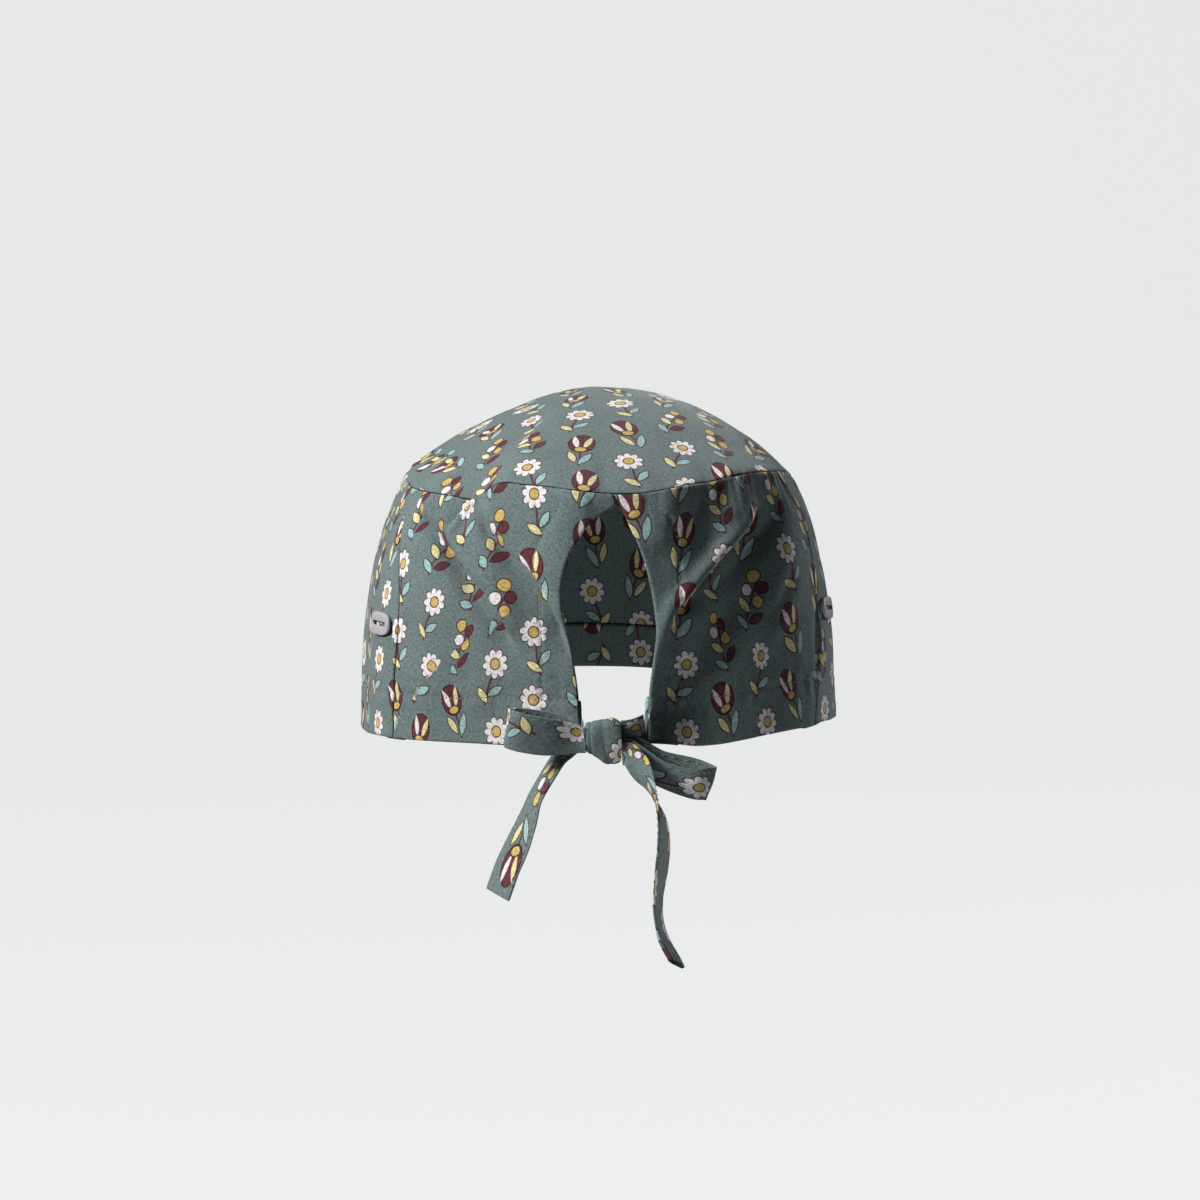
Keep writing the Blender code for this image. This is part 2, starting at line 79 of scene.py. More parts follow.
add_lamp("key_lamp", (-2.15, -0.88, 1.42), (0, -0.03, 0.03), 0.7, 86, (1.0, 0.985, 0.96))
add_lamp("top_lamp", (-0.7, 0.5, 2.3), (0, 0, 0.08), 0.8, 20, (1.0, 0.99, 0.97))
add_lamp("rim_lamp", (2.1, 1.35, 0.6), (0, 0, 0.03), 0.8, 26, (0.96, 0.98, 1.0))
add_lamp("low_lamp", (0.1, -0.35, -0.42), (0, 0.06, 0.04), 0.3, 0.9, (1.0, 1.0, 1.0))
world = bpy.data.worlds.new("studio_air")
world.use_nodes = True
world.node_tree.nodes["Background"].inputs["Color"].default_value = (0.90, 0.95, 1.0, 1)
world.node_tree.nodes["Background"].inputs["Strength"].default_value = 0.035
bpy.context.scene.world = world
bpy.context.scene.view_settings.view_transform = "Standard"

sweep_half_width = 4.5
sweep_half_length = 6
floor_level = -0.46
floor_end = 2.6
sweep_radius = 1.2
sweep_bm = bmesh.new()
bmesh.ops.create_grid(sweep_bm, x_segments=2, y_segments=96, size=1)
for corner in sweep_bm.verts:
    run = corner.co.y * sweep_half_length
    bend = min(max(run - floor_end, 0) / sweep_radius, math.pi / 2)
    rise_above = max(run - floor_end - sweep_radius * math.pi / 2, 0)
    corner.co = Vector((
        corner.co.x * sweep_half_width,
        min(run, floor_end) + sweep_radius * math.sin(bend),
        floor_level + sweep_radius * (1 - math.cos(bend)) + rise_above,
    ))
sweep_mesh = bpy.data.meshes.new("studio_floor")
sweep_bm.to_mesh(sweep_mesh)
sweep_bm.free()
sweep_mesh.shade_smooth()
paper = bpy.data.materials.new("studio_paper")
paper.use_nodes = True
paper_shader = paper.node_tree.nodes["Principled BSDF"]
paper_shader.inputs["Base Color"].default_value = (0.10, 0.10, 0.10, 1)
paper_shader.inputs["Roughness"].default_value = 0.95
paper_shader.inputs["Specular IOR Level"].default_value = 0.0
paper_shader.inputs["Emission Color"].default_value = (0.79, 0.80, 0.80, 1)
paper_shader.inputs["Emission Strength"].default_value = 0.97
sweep_mesh.materials.append(paper)
studio_floor = bpy.data.objects.new("studio_floor", sweep_mesh)
bpy.context.scene.collection.objects.link(studio_floor)
studio_floor.visible_diffuse = False
studio_floor.visible_glossy = False

# The wall of the cap: one strip of cotton cloth round the head, in three pieces. This section has
# the wall's plan, its height, how it leans in to the crown, and its drag folds towards the knot.
half_width = 0.0855
back_depth = 0.080
front_depth = 0.125
back_squareness = 2.8
front_squareness = 2.15
wall_height = 0.089
side_lean = 0.0195
hollow_depth = 0.0075
side_seam_arc = 0.100
fold_depth = 0.0034
fold_width = 0.0060
hem_height = 0.0165
facing_width = 0.0110
keyhole_half_width = 0.0160
keyhole_apex = wall_height - 0.0035
seam_gap = 0.0003
cloth_thickness = 0.00055
hem_fold_radius = 0.0008
seam_fold_radius = 0.0005

# Columns: share round from the centre of the back, hem sway, seam sway, lean, and hollow, where the
# pull of the bow flattens the curve beside the keyhole
round_the_wall = [
    (-0.500, -0.17, 0.030, 0.60, 0.00),
    (-0.360, -0.26, -0.020, 0.75, 0.00),
    (-0.240, -0.40, -0.060, 0.86, 0.00),
    (-0.165, -0.15, -0.055, 0.80, 0.50),
    (-0.125, -0.07, -0.059, 0.76, 1.00),
    (-0.095, -0.04, -0.062, 0.66, 1.32),
    (-0.070, -0.02, 0.005, 0.55, 1.12),
    (-0.050, -0.01, 0.004, 0.50, 0.74),
    (-0.034, 0.00, 0.000, 0.46, 0.40),
    (-0.017, 0.03, -0.012, 0.46, 0.00),
    (0.000, 0.08, -0.022, 0.46, 0.00),
    (0.017, 0.12, -0.022, 0.46, 0.00),
    (0.034, 0.06, -0.012, 0.46, 0.44),
    (0.050, -0.04, 0.002, 0.46, 0.80),
    (0.065, -0.05, 0.007, 0.50, 1.00),
    (0.080, 0.00, 0.019, 0.56, 1.05),
    (0.110, 0.11, 0.031, 0.69, 0.84),
    (0.140, 0.13, 0.026, 0.78, 0.48),
    (0.155, 0.14, 0.021, 0.82, 0.38),
    (0.240, -0.16, -0.055, 0.80, 0.00),
    (0.360, -0.22, -0.025, 0.70, 0.00),
    (0.500, -0.17, 0.030, 0.60, 0.00),
]
# Columns: share of the wall's rise, left and right distance round
side_seams = [(0.00, 0.93, 0.865), (0.45, 0.915, 0.93), (0.75, 1.01, 0.97), (1.00, 1.18, 0.87)]
# Columns: share of the keyhole's height, left and right half width
keyhole_edges = [
    (0.00, 0.66, 0.81),
    (0.21, 0.70, 0.85),
    (0.33, 0.79, 0.92),
    (0.46, 0.92, 0.98),
    (0.56, 0.98, 0.95),
    (0.66, 1.01, 0.87),
    (0.76, 0.89, 0.75),
    (0.86, 0.63, 0.54),
    (0.94, 0.34, 0.30),
    (1.00, 0.00, 0.00),
]
# Columns: start and end as shares round and up, width, depth
drag_folds = [
    ((-0.80, 0.84), (-0.32, 0.36), 0.75, -0.90),
    ((-0.70, 0.90), (-0.24, 0.40), 1.30, 0.50),
    ((-0.52, 0.93), (-0.15, 0.40), 0.80, -0.60),
    ((-0.88, 0.62), (-0.50, 0.30), 2.20, 0.35),
    ((0.30, 0.90), (0.17, 0.40), 1.30, 0.55),
    ((0.56, 0.97), (0.17, 0.30), 1.10, 0.90),
    ((0.78, 0.95), (0.24, 0.25), 1.50, -1.00),
    ((0.86, 0.80), (0.46, 0.30), 1.60, 0.40),
    ((0.95, 0.45), (0.90, 0.12), 0.80, 0.40),
]


def eased(table, column, at):
    """One column of a table at places along its first column, with no corners."""
    rows = np.array(table, dtype=float)
    x, y = rows[:, 0], rows[:, column]
    slopes = np.empty(len(x))
    slopes[1:-1] = (y[2:] - y[:-2]) / (x[2:] - x[:-2])
    slopes[0] = (y[1] - y[0]) / (x[1] - x[0])
    slopes[-1] = (y[-1] - y[-2]) / (x[-1] - x[-2])
    at = np.clip(np.asarray(at, dtype=float), x[0], x[-1])
    i = np.clip(np.searchsorted(x, at) - 1, 0, len(x) - 2)
    span = x[i + 1] - x[i]
    t = (at - x[i]) / span
    return (
        y[i] * (2 * t**3 - 3 * t**2 + 1)
        + y[i + 1] * (3 * t**2 - 2 * t**3)
        + slopes[i] * span * (t**3 - 2 * t**2 + t)
        + slopes[i + 1] * span * (t**3 - t**2)
    )


plan_angles = np.linspace(-np.pi, np.pi, 1441)
plan_is_back = np.cos(plan_angles) > 0
plan_depth = np.where(plan_is_back, back_depth, front_depth)
plan_power = np.where(plan_is_back, back_squareness, front_squareness)
plan_across = np.abs(np.sin(plan_angles) / half_width) ** plan_power
plan_along = np.abs(np.cos(plan_angles) / plan_depth) ** plan_power
plan_reach = (plan_across + plan_along) ** (-1 / plan_power)
plan_x = plan_reach * np.sin(plan_angles)
plan_y = (back_depth - front_depth) / 2 - plan_reach * np.cos(plan_angles)
plan_steps = np.hypot(np.diff(plan_x), np.diff(plan_y))
hem_length = float(plan_steps.sum())
plan_arcs = np.concatenate([[0], np.cumsum(plan_steps)]) - hem_length / 2


def on_plan(arc):
    arc = (arc + hem_length / 2) % hem_length - hem_length / 2
    return np.stack([np.interp(arc, plan_arcs, plan_x), np.interp(arc, plan_arcs, plan_y)], axis=-1)


def unit(ways):
    return ways / np.maximum(np.linalg.norm(ways, axis=-1, keepdims=True), 1e-12)


def out_of_plan(arc, reach=0.004):
    way = unit(on_plan(arc + reach) - on_plan(arc - reach))
    return np.stack([way[..., 1], -way[..., 0], np.zeros(len(way))], axis=-1)


def drag_fold_height(arc, height):
    total = np.zeros(len(arc))
    here = np.stack([arc, height], axis=-1)
    for start, end, width, depth in drag_folds:
        first = np.array([start[0] * side_seam_arc, start[1] * wall_height])
        line = np.array([end[0] * side_seam_arc, end[1] * wall_height]) - first
        share = np.clip((here - first) @ line / (line @ line), 0, 1)
        off = np.linalg.norm(here - first - share[:, None] * line, axis=-1) / (width * fold_width)
        total += depth * fold_depth * np.exp(-off * off) * np.sin(np.pi * (0.12 + 0.76 * share))
    return total


def wall_level(arc, rise):
    """Height of a place on the wall; the hem and the crown seam both sway round the cap."""
    share = (arc / hem_length + 0.5) % 1 - 0.5
    low = eased(round_the_wall, 1, share) * hem_height * np.minimum(1, 1.6 * (1 - rise))
    high = wall_height * (1 + eased(round_the_wall, 2, share))
    return low + (high - low) * rise


def wall_face(arc, rise):
    """The wall's outer face with its drag folds. rise is 0 at the hem and 1 at the crown seam."""
    share = (arc / hem_length + 0.5) % 1 - 0.5
    height = wall_level(arc, rise)
    lean = eased(round_the_wall, 3, share) * side_lean * (0.15 * rise + 0.85 * rise**3)
    calm = np.minimum(1, 8 * (1 - rise)) * np.minimum(1, 0.15 + 3 * np.maximum(rise, 0))
    hollow = eased(round_the_wall, 4, share) * hollow_depth
    out = drag_fold_height(share * hem_length, height) * calm - lean - hollow
    flat = np.concatenate([on_plan(arc), height[:, None]], axis=-1)
    return flat + out_of_plan(arc) * out[:, None]


def wall_way(arc, rise):
    """Direction out of the wall's cloth."""
    along = wall_face(arc + 0.0015, rise) - wall_face(arc - 0.0015, rise)
    up = wall_face(arc, rise + 0.012) - wall_face(arc, rise - 0.012)
    return unit(np.cross(along, up))


def keyhole_edge(side, height):
    share = height / keyhole_apex
    edge = eased(keyhole_edges, 1 if side < 0 else 2, share) * keyhole_half_width
    return np.where(share >= 1, 0.0, edge)


def seam_round(side, rise):
    return eased(side_seams, 1 if side < 0 else 2, rise) * side_seam_arc


def crumple(across, up, cell, seed):
    """Gentle, repeatable unevenness between -1 and 1, with bumps about a cell apart."""
    lattice = np.random.default_rng(seed).uniform(-1, 1, (97, 97))
    x, y = across / cell, up / cell
    i, j = np.floor(x).astype(int), np.floor(y).astype(int)
    fx, fy = x - i, y - j
    fx = fx**3 * (fx * (fx * 6 - 15) + 10)
    fy = fy**3 * (fy * (fy * 6 - 15) + 10)
    i0, i1, j0, j1 = i % 97, (i + 1) % 97, j % 97, (j + 1) % 97
    low = lattice[i0, j0] * (1 - fx) + lattice[i1, j0] * fx
    high = lattice[i0, j1] * (1 - fx) + lattice[i1, j1] * fx
    return low * (1 - fy) + high * fy


def beside_track(track, arc, height):
    """Distance from a crease drawn on the cloth, right side positive, and the share along it."""
    points = np.array(track, dtype=float) / 1000
    lengths = np.linalg.norm(np.diff(points, axis=0), axis=1)
    before = np.concatenate([[0], np.cumsum(lengths)])
    here = np.stack([arc, height], axis=-1)
    nearest = np.full(len(arc), np.inf)
    signed = np.zeros(len(arc))
    along = np.zeros(len(arc))
    for k, length in enumerate(lengths):
        line = (points[k + 1] - points[k]) / length
        run = np.clip((here - points[k]) @ line, 0, length)
        off = here - points[k] - run[:, None] * line
        distance = np.linalg.norm(off, axis=-1)
        side = np.where(off[:, 0] * -line[1] + off[:, 1] * line[0] >= 0, 1, -1)
        closer = distance < nearest
        nearest = np.where(closer, distance, nearest)
        signed = np.where(closer, side * distance, signed)
        along = np.where(closer, (before[k] + run) / before[-1], along)
    return signed, along


def ease_ends(share, start=0.15, end=0.2):
    rise_in = np.clip(share / start, 0, 1)
    fall_out = np.clip((1 - share) / end, 0, 1)
    return rise_in**2 * (3 - 2 * rise_in) * fall_out**2 * (3 - 2 * fall_out)


# The middles of the three deepest folds beside the keyhole, as points (round, up) in mm
outer_left_fold = [(-75, 68), (-64, 62), (-54, 55.5), (-47.5, 51.5), (-41, 45), (-37.5, 38)]
inner_left_fold = [(-41, 67.8), (-35.5, 63.7), (-30, 60.5), (-24, 53.5), (-19.5, 45.5)]
right_fold = [(45, 65.1), (38, 59.5), (29.5, 51.3), (24.5, 47.3)]
# Creases drawn on the back panels. Columns: points (round, up) in mm, depth, width left of it,
# width right of it, shoulder height, shoulder's distance from the crease, shoulder's width
creases = [
    ([(-13, 92), (-15, 80), (-17, 68), (-16, 52), (-14, 40)], 0.0, 0.0010, 0.0010, 0.0020, 0.0, 0.0085),
    ([(26, 100), (22, 86), (18.5, 75), (16.5, 65)], 0.0, 0.0010, 0.0010, 0.0022, 0.0, 0.0066),
    ([(-101, 78.5), (-88, 74)] + outer_left_fold + [(-32.5, 31.5)],
     0.0033, 0.0034, 0.0009, 0.0017, 0.0044, 0.0034),
    ([(-56, 80.3)] + inner_left_fold + [(-16.5, 37.5), (-13, 28.7)],
     0.0026, 0.0028, 0.0009, 0.0014, 0.0042, 0.0030),
    ([(67.5, 80.6), (56.5, 71)] + right_fold + [(22, 41.5), (19, 30)],
     0.0026, 0.0009, 0.0050, 0.0019, -0.0034, 0.0030),
    ([(84.5, 80), (64.5, 69.4), (49.5, 58.5), (28, 47.3), (22.5, 34), (17, 19.6)],
     0.0011, 0.0030, 0.0030, 0.0006, 0.0060, 0.0040),
    (outer_left_fold + [(-33, 32)], 0.0007, 0.0012, 0.0008, 0.0003, 0.0020, 0.0010),
    (inner_left_fold + [(-16.5, 37.5)], 0.0006, 0.0012, 0.0008, 0.0003, 0.0020, 0.0010),
    ([(60, 74)] + right_fold + [(22, 41.5)], 0.0006, 0.0008, 0.0012, 0.0003, -0.0020, 0.0010),
    ([(-72, 72), (-67, 78), (-61, 84), (-54, 91)], 0.0011, 0.0010, 0.0030, 0.0008, -0.0030, 0.0020),
    ([(-98, 66), (-90, 52), (-80, 40), (-66, 30)], 0.0006, 0.0040, 0.0040, 0.0004, 0.0060, 0.0040),
    ([(-88, 44), (-74, 29), (-54, 19)], 0.0005, 0.0030, 0.0030, 0.0004, 0.0050, 0.0030),
    ([(36, 86), (30, 74), (26, 62)], 0.0006, 0.0020, 0.0026, 0.0004, -0.0040, 0.0020),
    ([(80, 60), (70, 48), (54, 36), (38, 26)], 0.0007, 0.0030, 0.0040, 0.0005, 0.0060, 0.0040),
    ([(93, 44), (90, 34), (88, 20)], 0.0008, 0.0012, 0.0022, 0.0006, 0.0026, 0.0014),
    ([(98, 40), (96.5, 30), (95, 18)], 0.0005, 0.0012, 0.0016, 0.0005, 0.0024, 0.0012),
    ([(-97, 40), (-96, 28), (-95, 17)], 0.0008, 0.0010, 0.0022, 0.0006, 0.0030, 0.0016),
    ([(-24, 20), (-19, 15), (-13, 9)], 0.0005, 0.0016, 0.0020, 0.0003, 0.0030, 0.0015),
    ([(24, 21), (19, 15), (14, 8)], 0.0005, 0.0020, 0.0016, 0.0003, -0.0030, 0.0015),
]
# Tucks: creases at which cloth folds under itself, so the print skips. Columns: points, width hidden
tucks = [
    ([(-86, 74)] + outer_left_fold, 0.0048),
    (inner_left_fold, 0.0034),
    ([(62, 76), (56.5, 71)] + right_fold, 0.0046),
]


def hidden_cloth(arc, height):
    """Width of cloth folded away between here and the middle of the back."""
    hidden = np.zeros(len(arc))
    for points, width in tucks:
        off, share = beside_track(points, arc, height)
        beyond = 0.5 + 0.5 * np.tanh((-off if points[0][0] < 0 else off) / 0.0003)
        hidden += width * beyond * ease_ends(share, 0.35, 0.35)
    return hidden


# Lines of stitching, as points (round, up) in mm
left_facing_line = [(-17, 84), (-18.5, 80), (-23, 74), (-26, 67), (-26.4, 61), (-25.4, 54), (-24.5, 46),
                    (-24, 34), (-23.5, 17)]
right_facing_line = [(13, 84), (17.5, 81), (20.5, 78.5), (22.6, 75), (25, 67), (24.6, 59), (24.6, 47.5),
                     (25, 34), (25, 17)]

# Relief of the seams and stitched lines
seam_groove_depth = 0.00022
stitch_groove_depth = 0.00032
groove_width = 0.0009
gather_height = 0.00042
gather_reach = 0.008
hem_pucker_height = 0.00024
hem_pucker_reach = 0.0075
facing_pucker_height = 0.00016
facing_pucker_reach = 0.0050


def wall_detail(arc, rise, depth):
    """Creases, puckers and stitching grooves on top of the wall's drag folds."""
    arc = (arc / hem_length + 0.5) % 1 * hem_length - hem_length / 2
    height = wall_level(arc, rise)
    at_back = np.clip((0.122 - np.abs(arc)) / 0.02, 0, 1)
    out = 0.00055 * crumple(arc, height, 0.026, 3) * np.minimum(1, 6 * (1 - rise))
    out += 0.00022 * crumple(arc, height * 0.6, 0.0095, 4)
    out += 0.00007 * crumple(arc, height, 0.0032, 5)
    inner_ply = 1 - depth / hem_fold_radius
    for points, deep, left, right, shoulder, beside, spread_of in creases:
        off, share = beside_track(points, arc, height)
        width = np.where(off < 0, left, right)
        dip = -deep * np.exp(-((np.abs(off) / width) ** 1.35))
        ridge = shoulder * np.exp(-(((off - beside) / spread_of) ** 2))
        out += (dip + ridge) * ease_ends(share) * at_back
    from_seam = (1 - rise) * wall_height
    gathers = crumple(arc, 0 * arc, 0.0046, 6) + 0.6 * crumple(arc, 0 * arc, 0.0021, 7)
    out += gather_height * gathers * np.exp(-from_seam / gather_reach) * np.minimum(1, from_seam / 0.0015)
    out -= seam_groove_depth * np.exp(-((from_seam / groove_width) ** 2))
    from_hem = height - wall_level(arc, np.full(len(arc), hem_height / wall_height))
    out -= stitch_groove_depth * np.exp(-((from_hem / groove_width) ** 2)) * inner_ply
    pucker = crumple(arc, height * 0.35, 0.0030, 8) + 0.5 * crumple(arc, height, 0.0016, 9)
    out += hem_pucker_height * pucker * np.exp(-((from_hem / hem_pucker_reach) ** 2))
    for line in (left_facing_line, right_facing_line):
        off, share = beside_track(line, arc, height)
        out -= stitch_groove_depth * np.exp(-((off / groove_width) ** 2)) * at_back * inner_ply
        out += facing_pucker_height * pucker * np.exp(-((off / facing_pucker_reach) ** 2)) * at_back
    return out


def fold_in(flat, edge, radius, side):
    """Place and depth of cloth turned in round an edge; side is 1 where the cloth lies above it."""
    past = np.maximum(radius - side * (flat - edge), 0)
    angle = np.minimum(past / radius, np.pi)
    turned = edge + side * (radius - radius * np.sin(angle) + np.maximum(past - np.pi * radius, 0))
    return np.where(past > 0, turned, flat), radius * (1 - np.cos(angle))


def spread(share, cells, stops):
    """Places for a grid's lines, with the given cells between each two stops."""
    marks = np.concatenate([[0], np.cumsum(cells)]) / sum(cells)
    place = np.zeros(len(share))
    for low, high, start, end in zip(marks, marks[1:], stops, stops[1:]):
        within = np.clip((share - low) / (high - low), 0, 1)
        place = np.where(share >= low - 1e-9, start + (end - start) * within, place)
    return place


def cloth_strip(share, cells, low, high, low_radius, high_radius, low_turn, high_turn):
    """Place on the cloth, place in the cap and depth across a strip with both edges turned in."""
    low_bend, high_bend = low_radius * (math.pi - 1), high_radius * (math.pi - 1)
    flat = spread(share, cells, (
        low - low_bend - low_turn,
        low - low_bend,
        low + low_radius,
        high - high_radius,
        high + high_bend,
        high + high_bend + high_turn,
    ))
    low_place, low_depth = fold_in(flat, low, low_radius, 1)
    high_place, high_depth = fold_in(flat, high, high_radius, -1)
    is_low = flat < (low + high) / 2
    return flat, np.where(is_low, low_place, high_place), np.where(is_low, low_depth, high_depth)


def corners_of(mesh):
    flat = np.empty(len(mesh.vertices) * 3)
    mesh.vertices.foreach_get("co", flat)
    return flat.reshape(-1, 3)


def lay_out(mesh, points, cloth):
    """Move each vertex to its place in the cap, and note its place on the cloth."""
    mesh.vertices.foreach_set("co", points.ravel())
    corners = np.empty(len(mesh.loops), dtype=np.int32)
    mesh.loops.foreach_get("vertex_index", corners)
    mesh.uv_layers.new(name="cloth")
    mesh.uv_layers["cloth"].data.foreach_set("uv", cloth[corners].ravel())
    mesh.update()
    mesh.shade_smooth()


def sheet_mesh(name, cells_across, cells_up, place):
    """A grid of cloth. place gives each grid point its place in the cap and on the cloth."""
    bm = bmesh.new()
    bmesh.ops.create_grid(bm, x_segments=cells_across, y_segments=cells_up, size=0.5)
    mesh = bpy.data.meshes.new(name)
    bm.to_mesh(mesh)
    bm.free()
    grid = corners_of(mesh) + 0.5
    lay_out(mesh, *place(grid[:, 0], grid[:, 1]))
    return mesh


def add_piece(name, mesh, material, nodes=()):
    """Put a finished mesh in the scene as a piece of the cap, in place of its solids."""
    mesh.materials.append(material)
    piece = bpy.data.objects.new(name, mesh)
    bpy.context.scene.collection.objects.link(piece)
    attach(piece, "root")
    if nodes:
        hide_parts(*nodes)
    return piece


def thicken(piece):
    solid = piece.modifiers.new("cloth_thickness", "SOLIDIFY")
    solid.thickness = cloth_thickness
    solid.offset = -1
    solid.use_rim = True


# The printed cotton: a teal-grey poplin with daisies, tulips and berry sprigs in white, cream,
# maroon, gold and pale blue, one motif to each cell of a half-drop repeat, in the cloth's metres.
repeat_across = 0.0172
repeat_up = 0.0232
thread_pitch = 0.00042
ink = 0.42
ground_teal = (0.150, 0.200, 0.202, 1)
maroon = (0.125, 0.030, 0.040, 1)
outline_brown = (0.050, 0.014, 0.018, 1)
cream = (0.74, 0.68, 0.37, 1)
gold = (0.62, 0.45, 0.15, 1)
petal_white = (0.83, 0.79, 0.80, 1)
pale_blue = (0.33, 0.52, 0.53, 1)


def new_material(name, roughness, sheen):
    material = bpy.data.materials.new(name)
    material.use_nodes = True
    shader = material.node_tree.nodes["Principled BSDF"]
    shader.inputs["Roughness"].default_value = roughness
    shader.inputs["Specular IOR Level"].default_value = 0.25
    shader.inputs["Sheen Weight"].default_value = sheen
    shader.inputs["Sheen Roughness"].default_value = 0.45
    return material, material.node_tree, shader


def feed(tree, node, inputs):
    for key, value in inputs.items():
        if isinstance(value, bpy.types.NodeSocket):
            tree.links.new(value, node.inputs[key])
        else:
            node.inputs[key].default_value = value


def reckon(tree, operation, *values):
    """One Math node; values are sockets or numbers."""
    node = tree.nodes.new("ShaderNodeMath")
    node.operation = operation
    feed(tree, node, dict(enumerate(values)))
    return node.outputs[0]


def move(tree, operation, *values):
    """One Vector Math node."""
    node = tree.nodes.new("ShaderNodeVectorMath")
    node.operation = operation
    feed(tree, node, dict(enumerate(values)))
    return node.outputs["Value" if operation == "LENGTH" else "Vector"]


def parts_of(tree, vector):
    node = tree.nodes.new("ShaderNodeSeparateXYZ")
    feed(tree, node, {0: vector})
    return node.outputs[0], node.outputs[1]


def fade(tree, value, start, end):
    """1 below start and 0 above end."""
    node = tree.nodes.new("ShaderNodeMapRange")
    feed(tree, node, {"Value": value, "From Min": start, "From Max": end, "To Min": 1.0, "To Max": 0.0})
    return node.outputs[0]


def mix_colour(tree, share, first, second):
    node = tree.nodes.new("ShaderNodeMix")
    node.data_type = "RGBA"
    feed(tree, node, {0: share, 6: first, 7: second})
    return node.outputs[2]


def rough_skin(tree, shader, height, strength, distance):
    bump = tree.nodes.new("ShaderNodeBump")
    feed(tree, bump, {"Height": height, "Strength": strength, "Distance": distance})
    tree.links.new(bump.outputs["Normal"], shader.inputs["Normal"])


def mottle(tree, shader, scale, detail, dark, light):
    """A colour that wanders between two shades, in the object's own space."""
    place = tree.nodes.new("ShaderNodeTexCoord").outputs["Object"]
    noise = tree.nodes.new("ShaderNodeTexNoise")
    feed(tree, noise, {"Vector": place, "Scale": scale, "Detail": detail})
    tree.links.new(mix_colour(tree, noise.outputs[0], dark, light), shader.inputs["Base Color"])
    return place, noise.outputs[0]


def turned_by(tree, place, angle):
    node = tree.nodes.new("ShaderNodeVectorRotate")
    node.rotation_type = "Z_AXIS"
    feed(tree, node, {"Vector": place, "Angle": angle})
    return node.outputs[0]


def joined(tree, x, y, z=0.0):
    node = tree.nodes.new("ShaderNodeCombineXYZ")
    feed(tree, node, {0: x, 1: y, 2: z})
    return node.outputs[0]


def oval(tree, place, centre, wide, tall):
    moved = move(tree, "SUBTRACT", place, (*centre, 0))
    scaled = move(tree, "DIVIDE", moved, (wide, tall, 1))
    distance = reckon(tree, "SUBTRACT", move(tree, "LENGTH", scaled), 1.0)
    return reckon(tree, "MULTIPLY", distance, min(wide, tall))


def leaf(tree, place, centre, degrees, length, width):
    from_centre = move(tree, "SUBTRACT", place, (*centre, 0))
    along, across = parts_of(tree, turned_by(tree, from_centre, math.radians(degrees)))
    share = reckon(tree, "DIVIDE", along, length)
    edge = reckon(tree, "MULTIPLY_ADD", reckon(tree, "MULTIPLY", share, share), -width, width)
    return reckon(tree, "SUBTRACT", reckon(tree, "ABSOLUTE", across), edge)


def stem(tree, place, low, high, bend, width):
    across, up = parts_of(tree, place)
    curve = reckon(tree, "MULTIPLY", reckon(tree, "SINE", reckon(tree, "MULTIPLY", up, 0.22)), bend)
    off = reckon(tree, "SUBTRACT", reckon(tree, "ABSOLUTE", reckon(tree, "SUBTRACT", across, curve)), width)
    middle, reach = (low + high) / 2, (high - low) / 2
    ends = reckon(tree, "SUBTRACT", reckon(tree, "ABSOLUTE", reckon(tree, "SUBTRACT", up, middle)), reach)
    return reckon(tree, "MAXIMUM", off, ends)


def daisy_head(tree, place, centre, petals, inner, outer):
    x, y = parts_of(tree, move(tree, "SUBTRACT", place, (*centre, 0)))
    turn = reckon(tree, "MULTIPLY", reckon(tree, "ARCTAN2", y, x), petals / 2)
    lobe = reckon(tree, "POWER", reckon(tree, "ABSOLUTE", reckon(tree, "COSINE", turn)), 0.6)
    edge = reckon(tree, "MULTIPLY_ADD", lobe, outer - inner, inner)
    reach = move(tree, "LENGTH", move(tree, "SUBTRACT", place, (*centre, 0)))
    return reckon(tree, "SUBTRACT", reach, edge)


def paint(tree, under, shape, colour, line_width):
    """Fill a shape with a colour, with a dark inked line round it."""
    blur = 0.12
    if line_width:
        line = fade(tree, shape, line_width - blur, line_width + blur)
        under = mix_colour(tree, line, under, outline_brown)
    return mix_colour(tree, fade(tree, shape, -blur, blur), under, colour)


# The motifs, each from the back to the front. Columns: shape, its sizes in mm, colour, width of the
# inked line round it
daisy = [
    (stem, (-10.0, 4.0, 0.8, 0.42), maroon, 0),
    (leaf, ((2.2, -4.2), -42, 3.2, 1.30), pale_blue, ink),
    (leaf, ((-2.4, -6.6), -138, 3.2, 1.30), cream, ink),
    (daisy_head, ((0.2, 4.9), 9, 2.9, 5.0), petal_white, ink),
    (oval, ((0.2, 4.9), 1.7, 1.7), gold, ink),
]
tulip = [
    (stem, (-10.2, 1.5, -0.7, 0.42), maroon, 0),
    (leaf, ((2.3, -5.6), -66, 4.4, 1.35), pale_blue, ink),
    (leaf, ((-2.3, -4.6), -112, 3.8, 1.20), cream, ink),
    (oval, ((0.0, 4.4), 4.3, 5.4), maroon, ink),
    (leaf, ((-2.1, 5.2), -104, 4.0, 1.05), petal_white, 0),
    (leaf, ((2.1, 5.2), -76, 4.0, 1.05), cream, 0),
    (oval, ((0.0, 0.6), 2.0, 1.3), gold, ink),
]
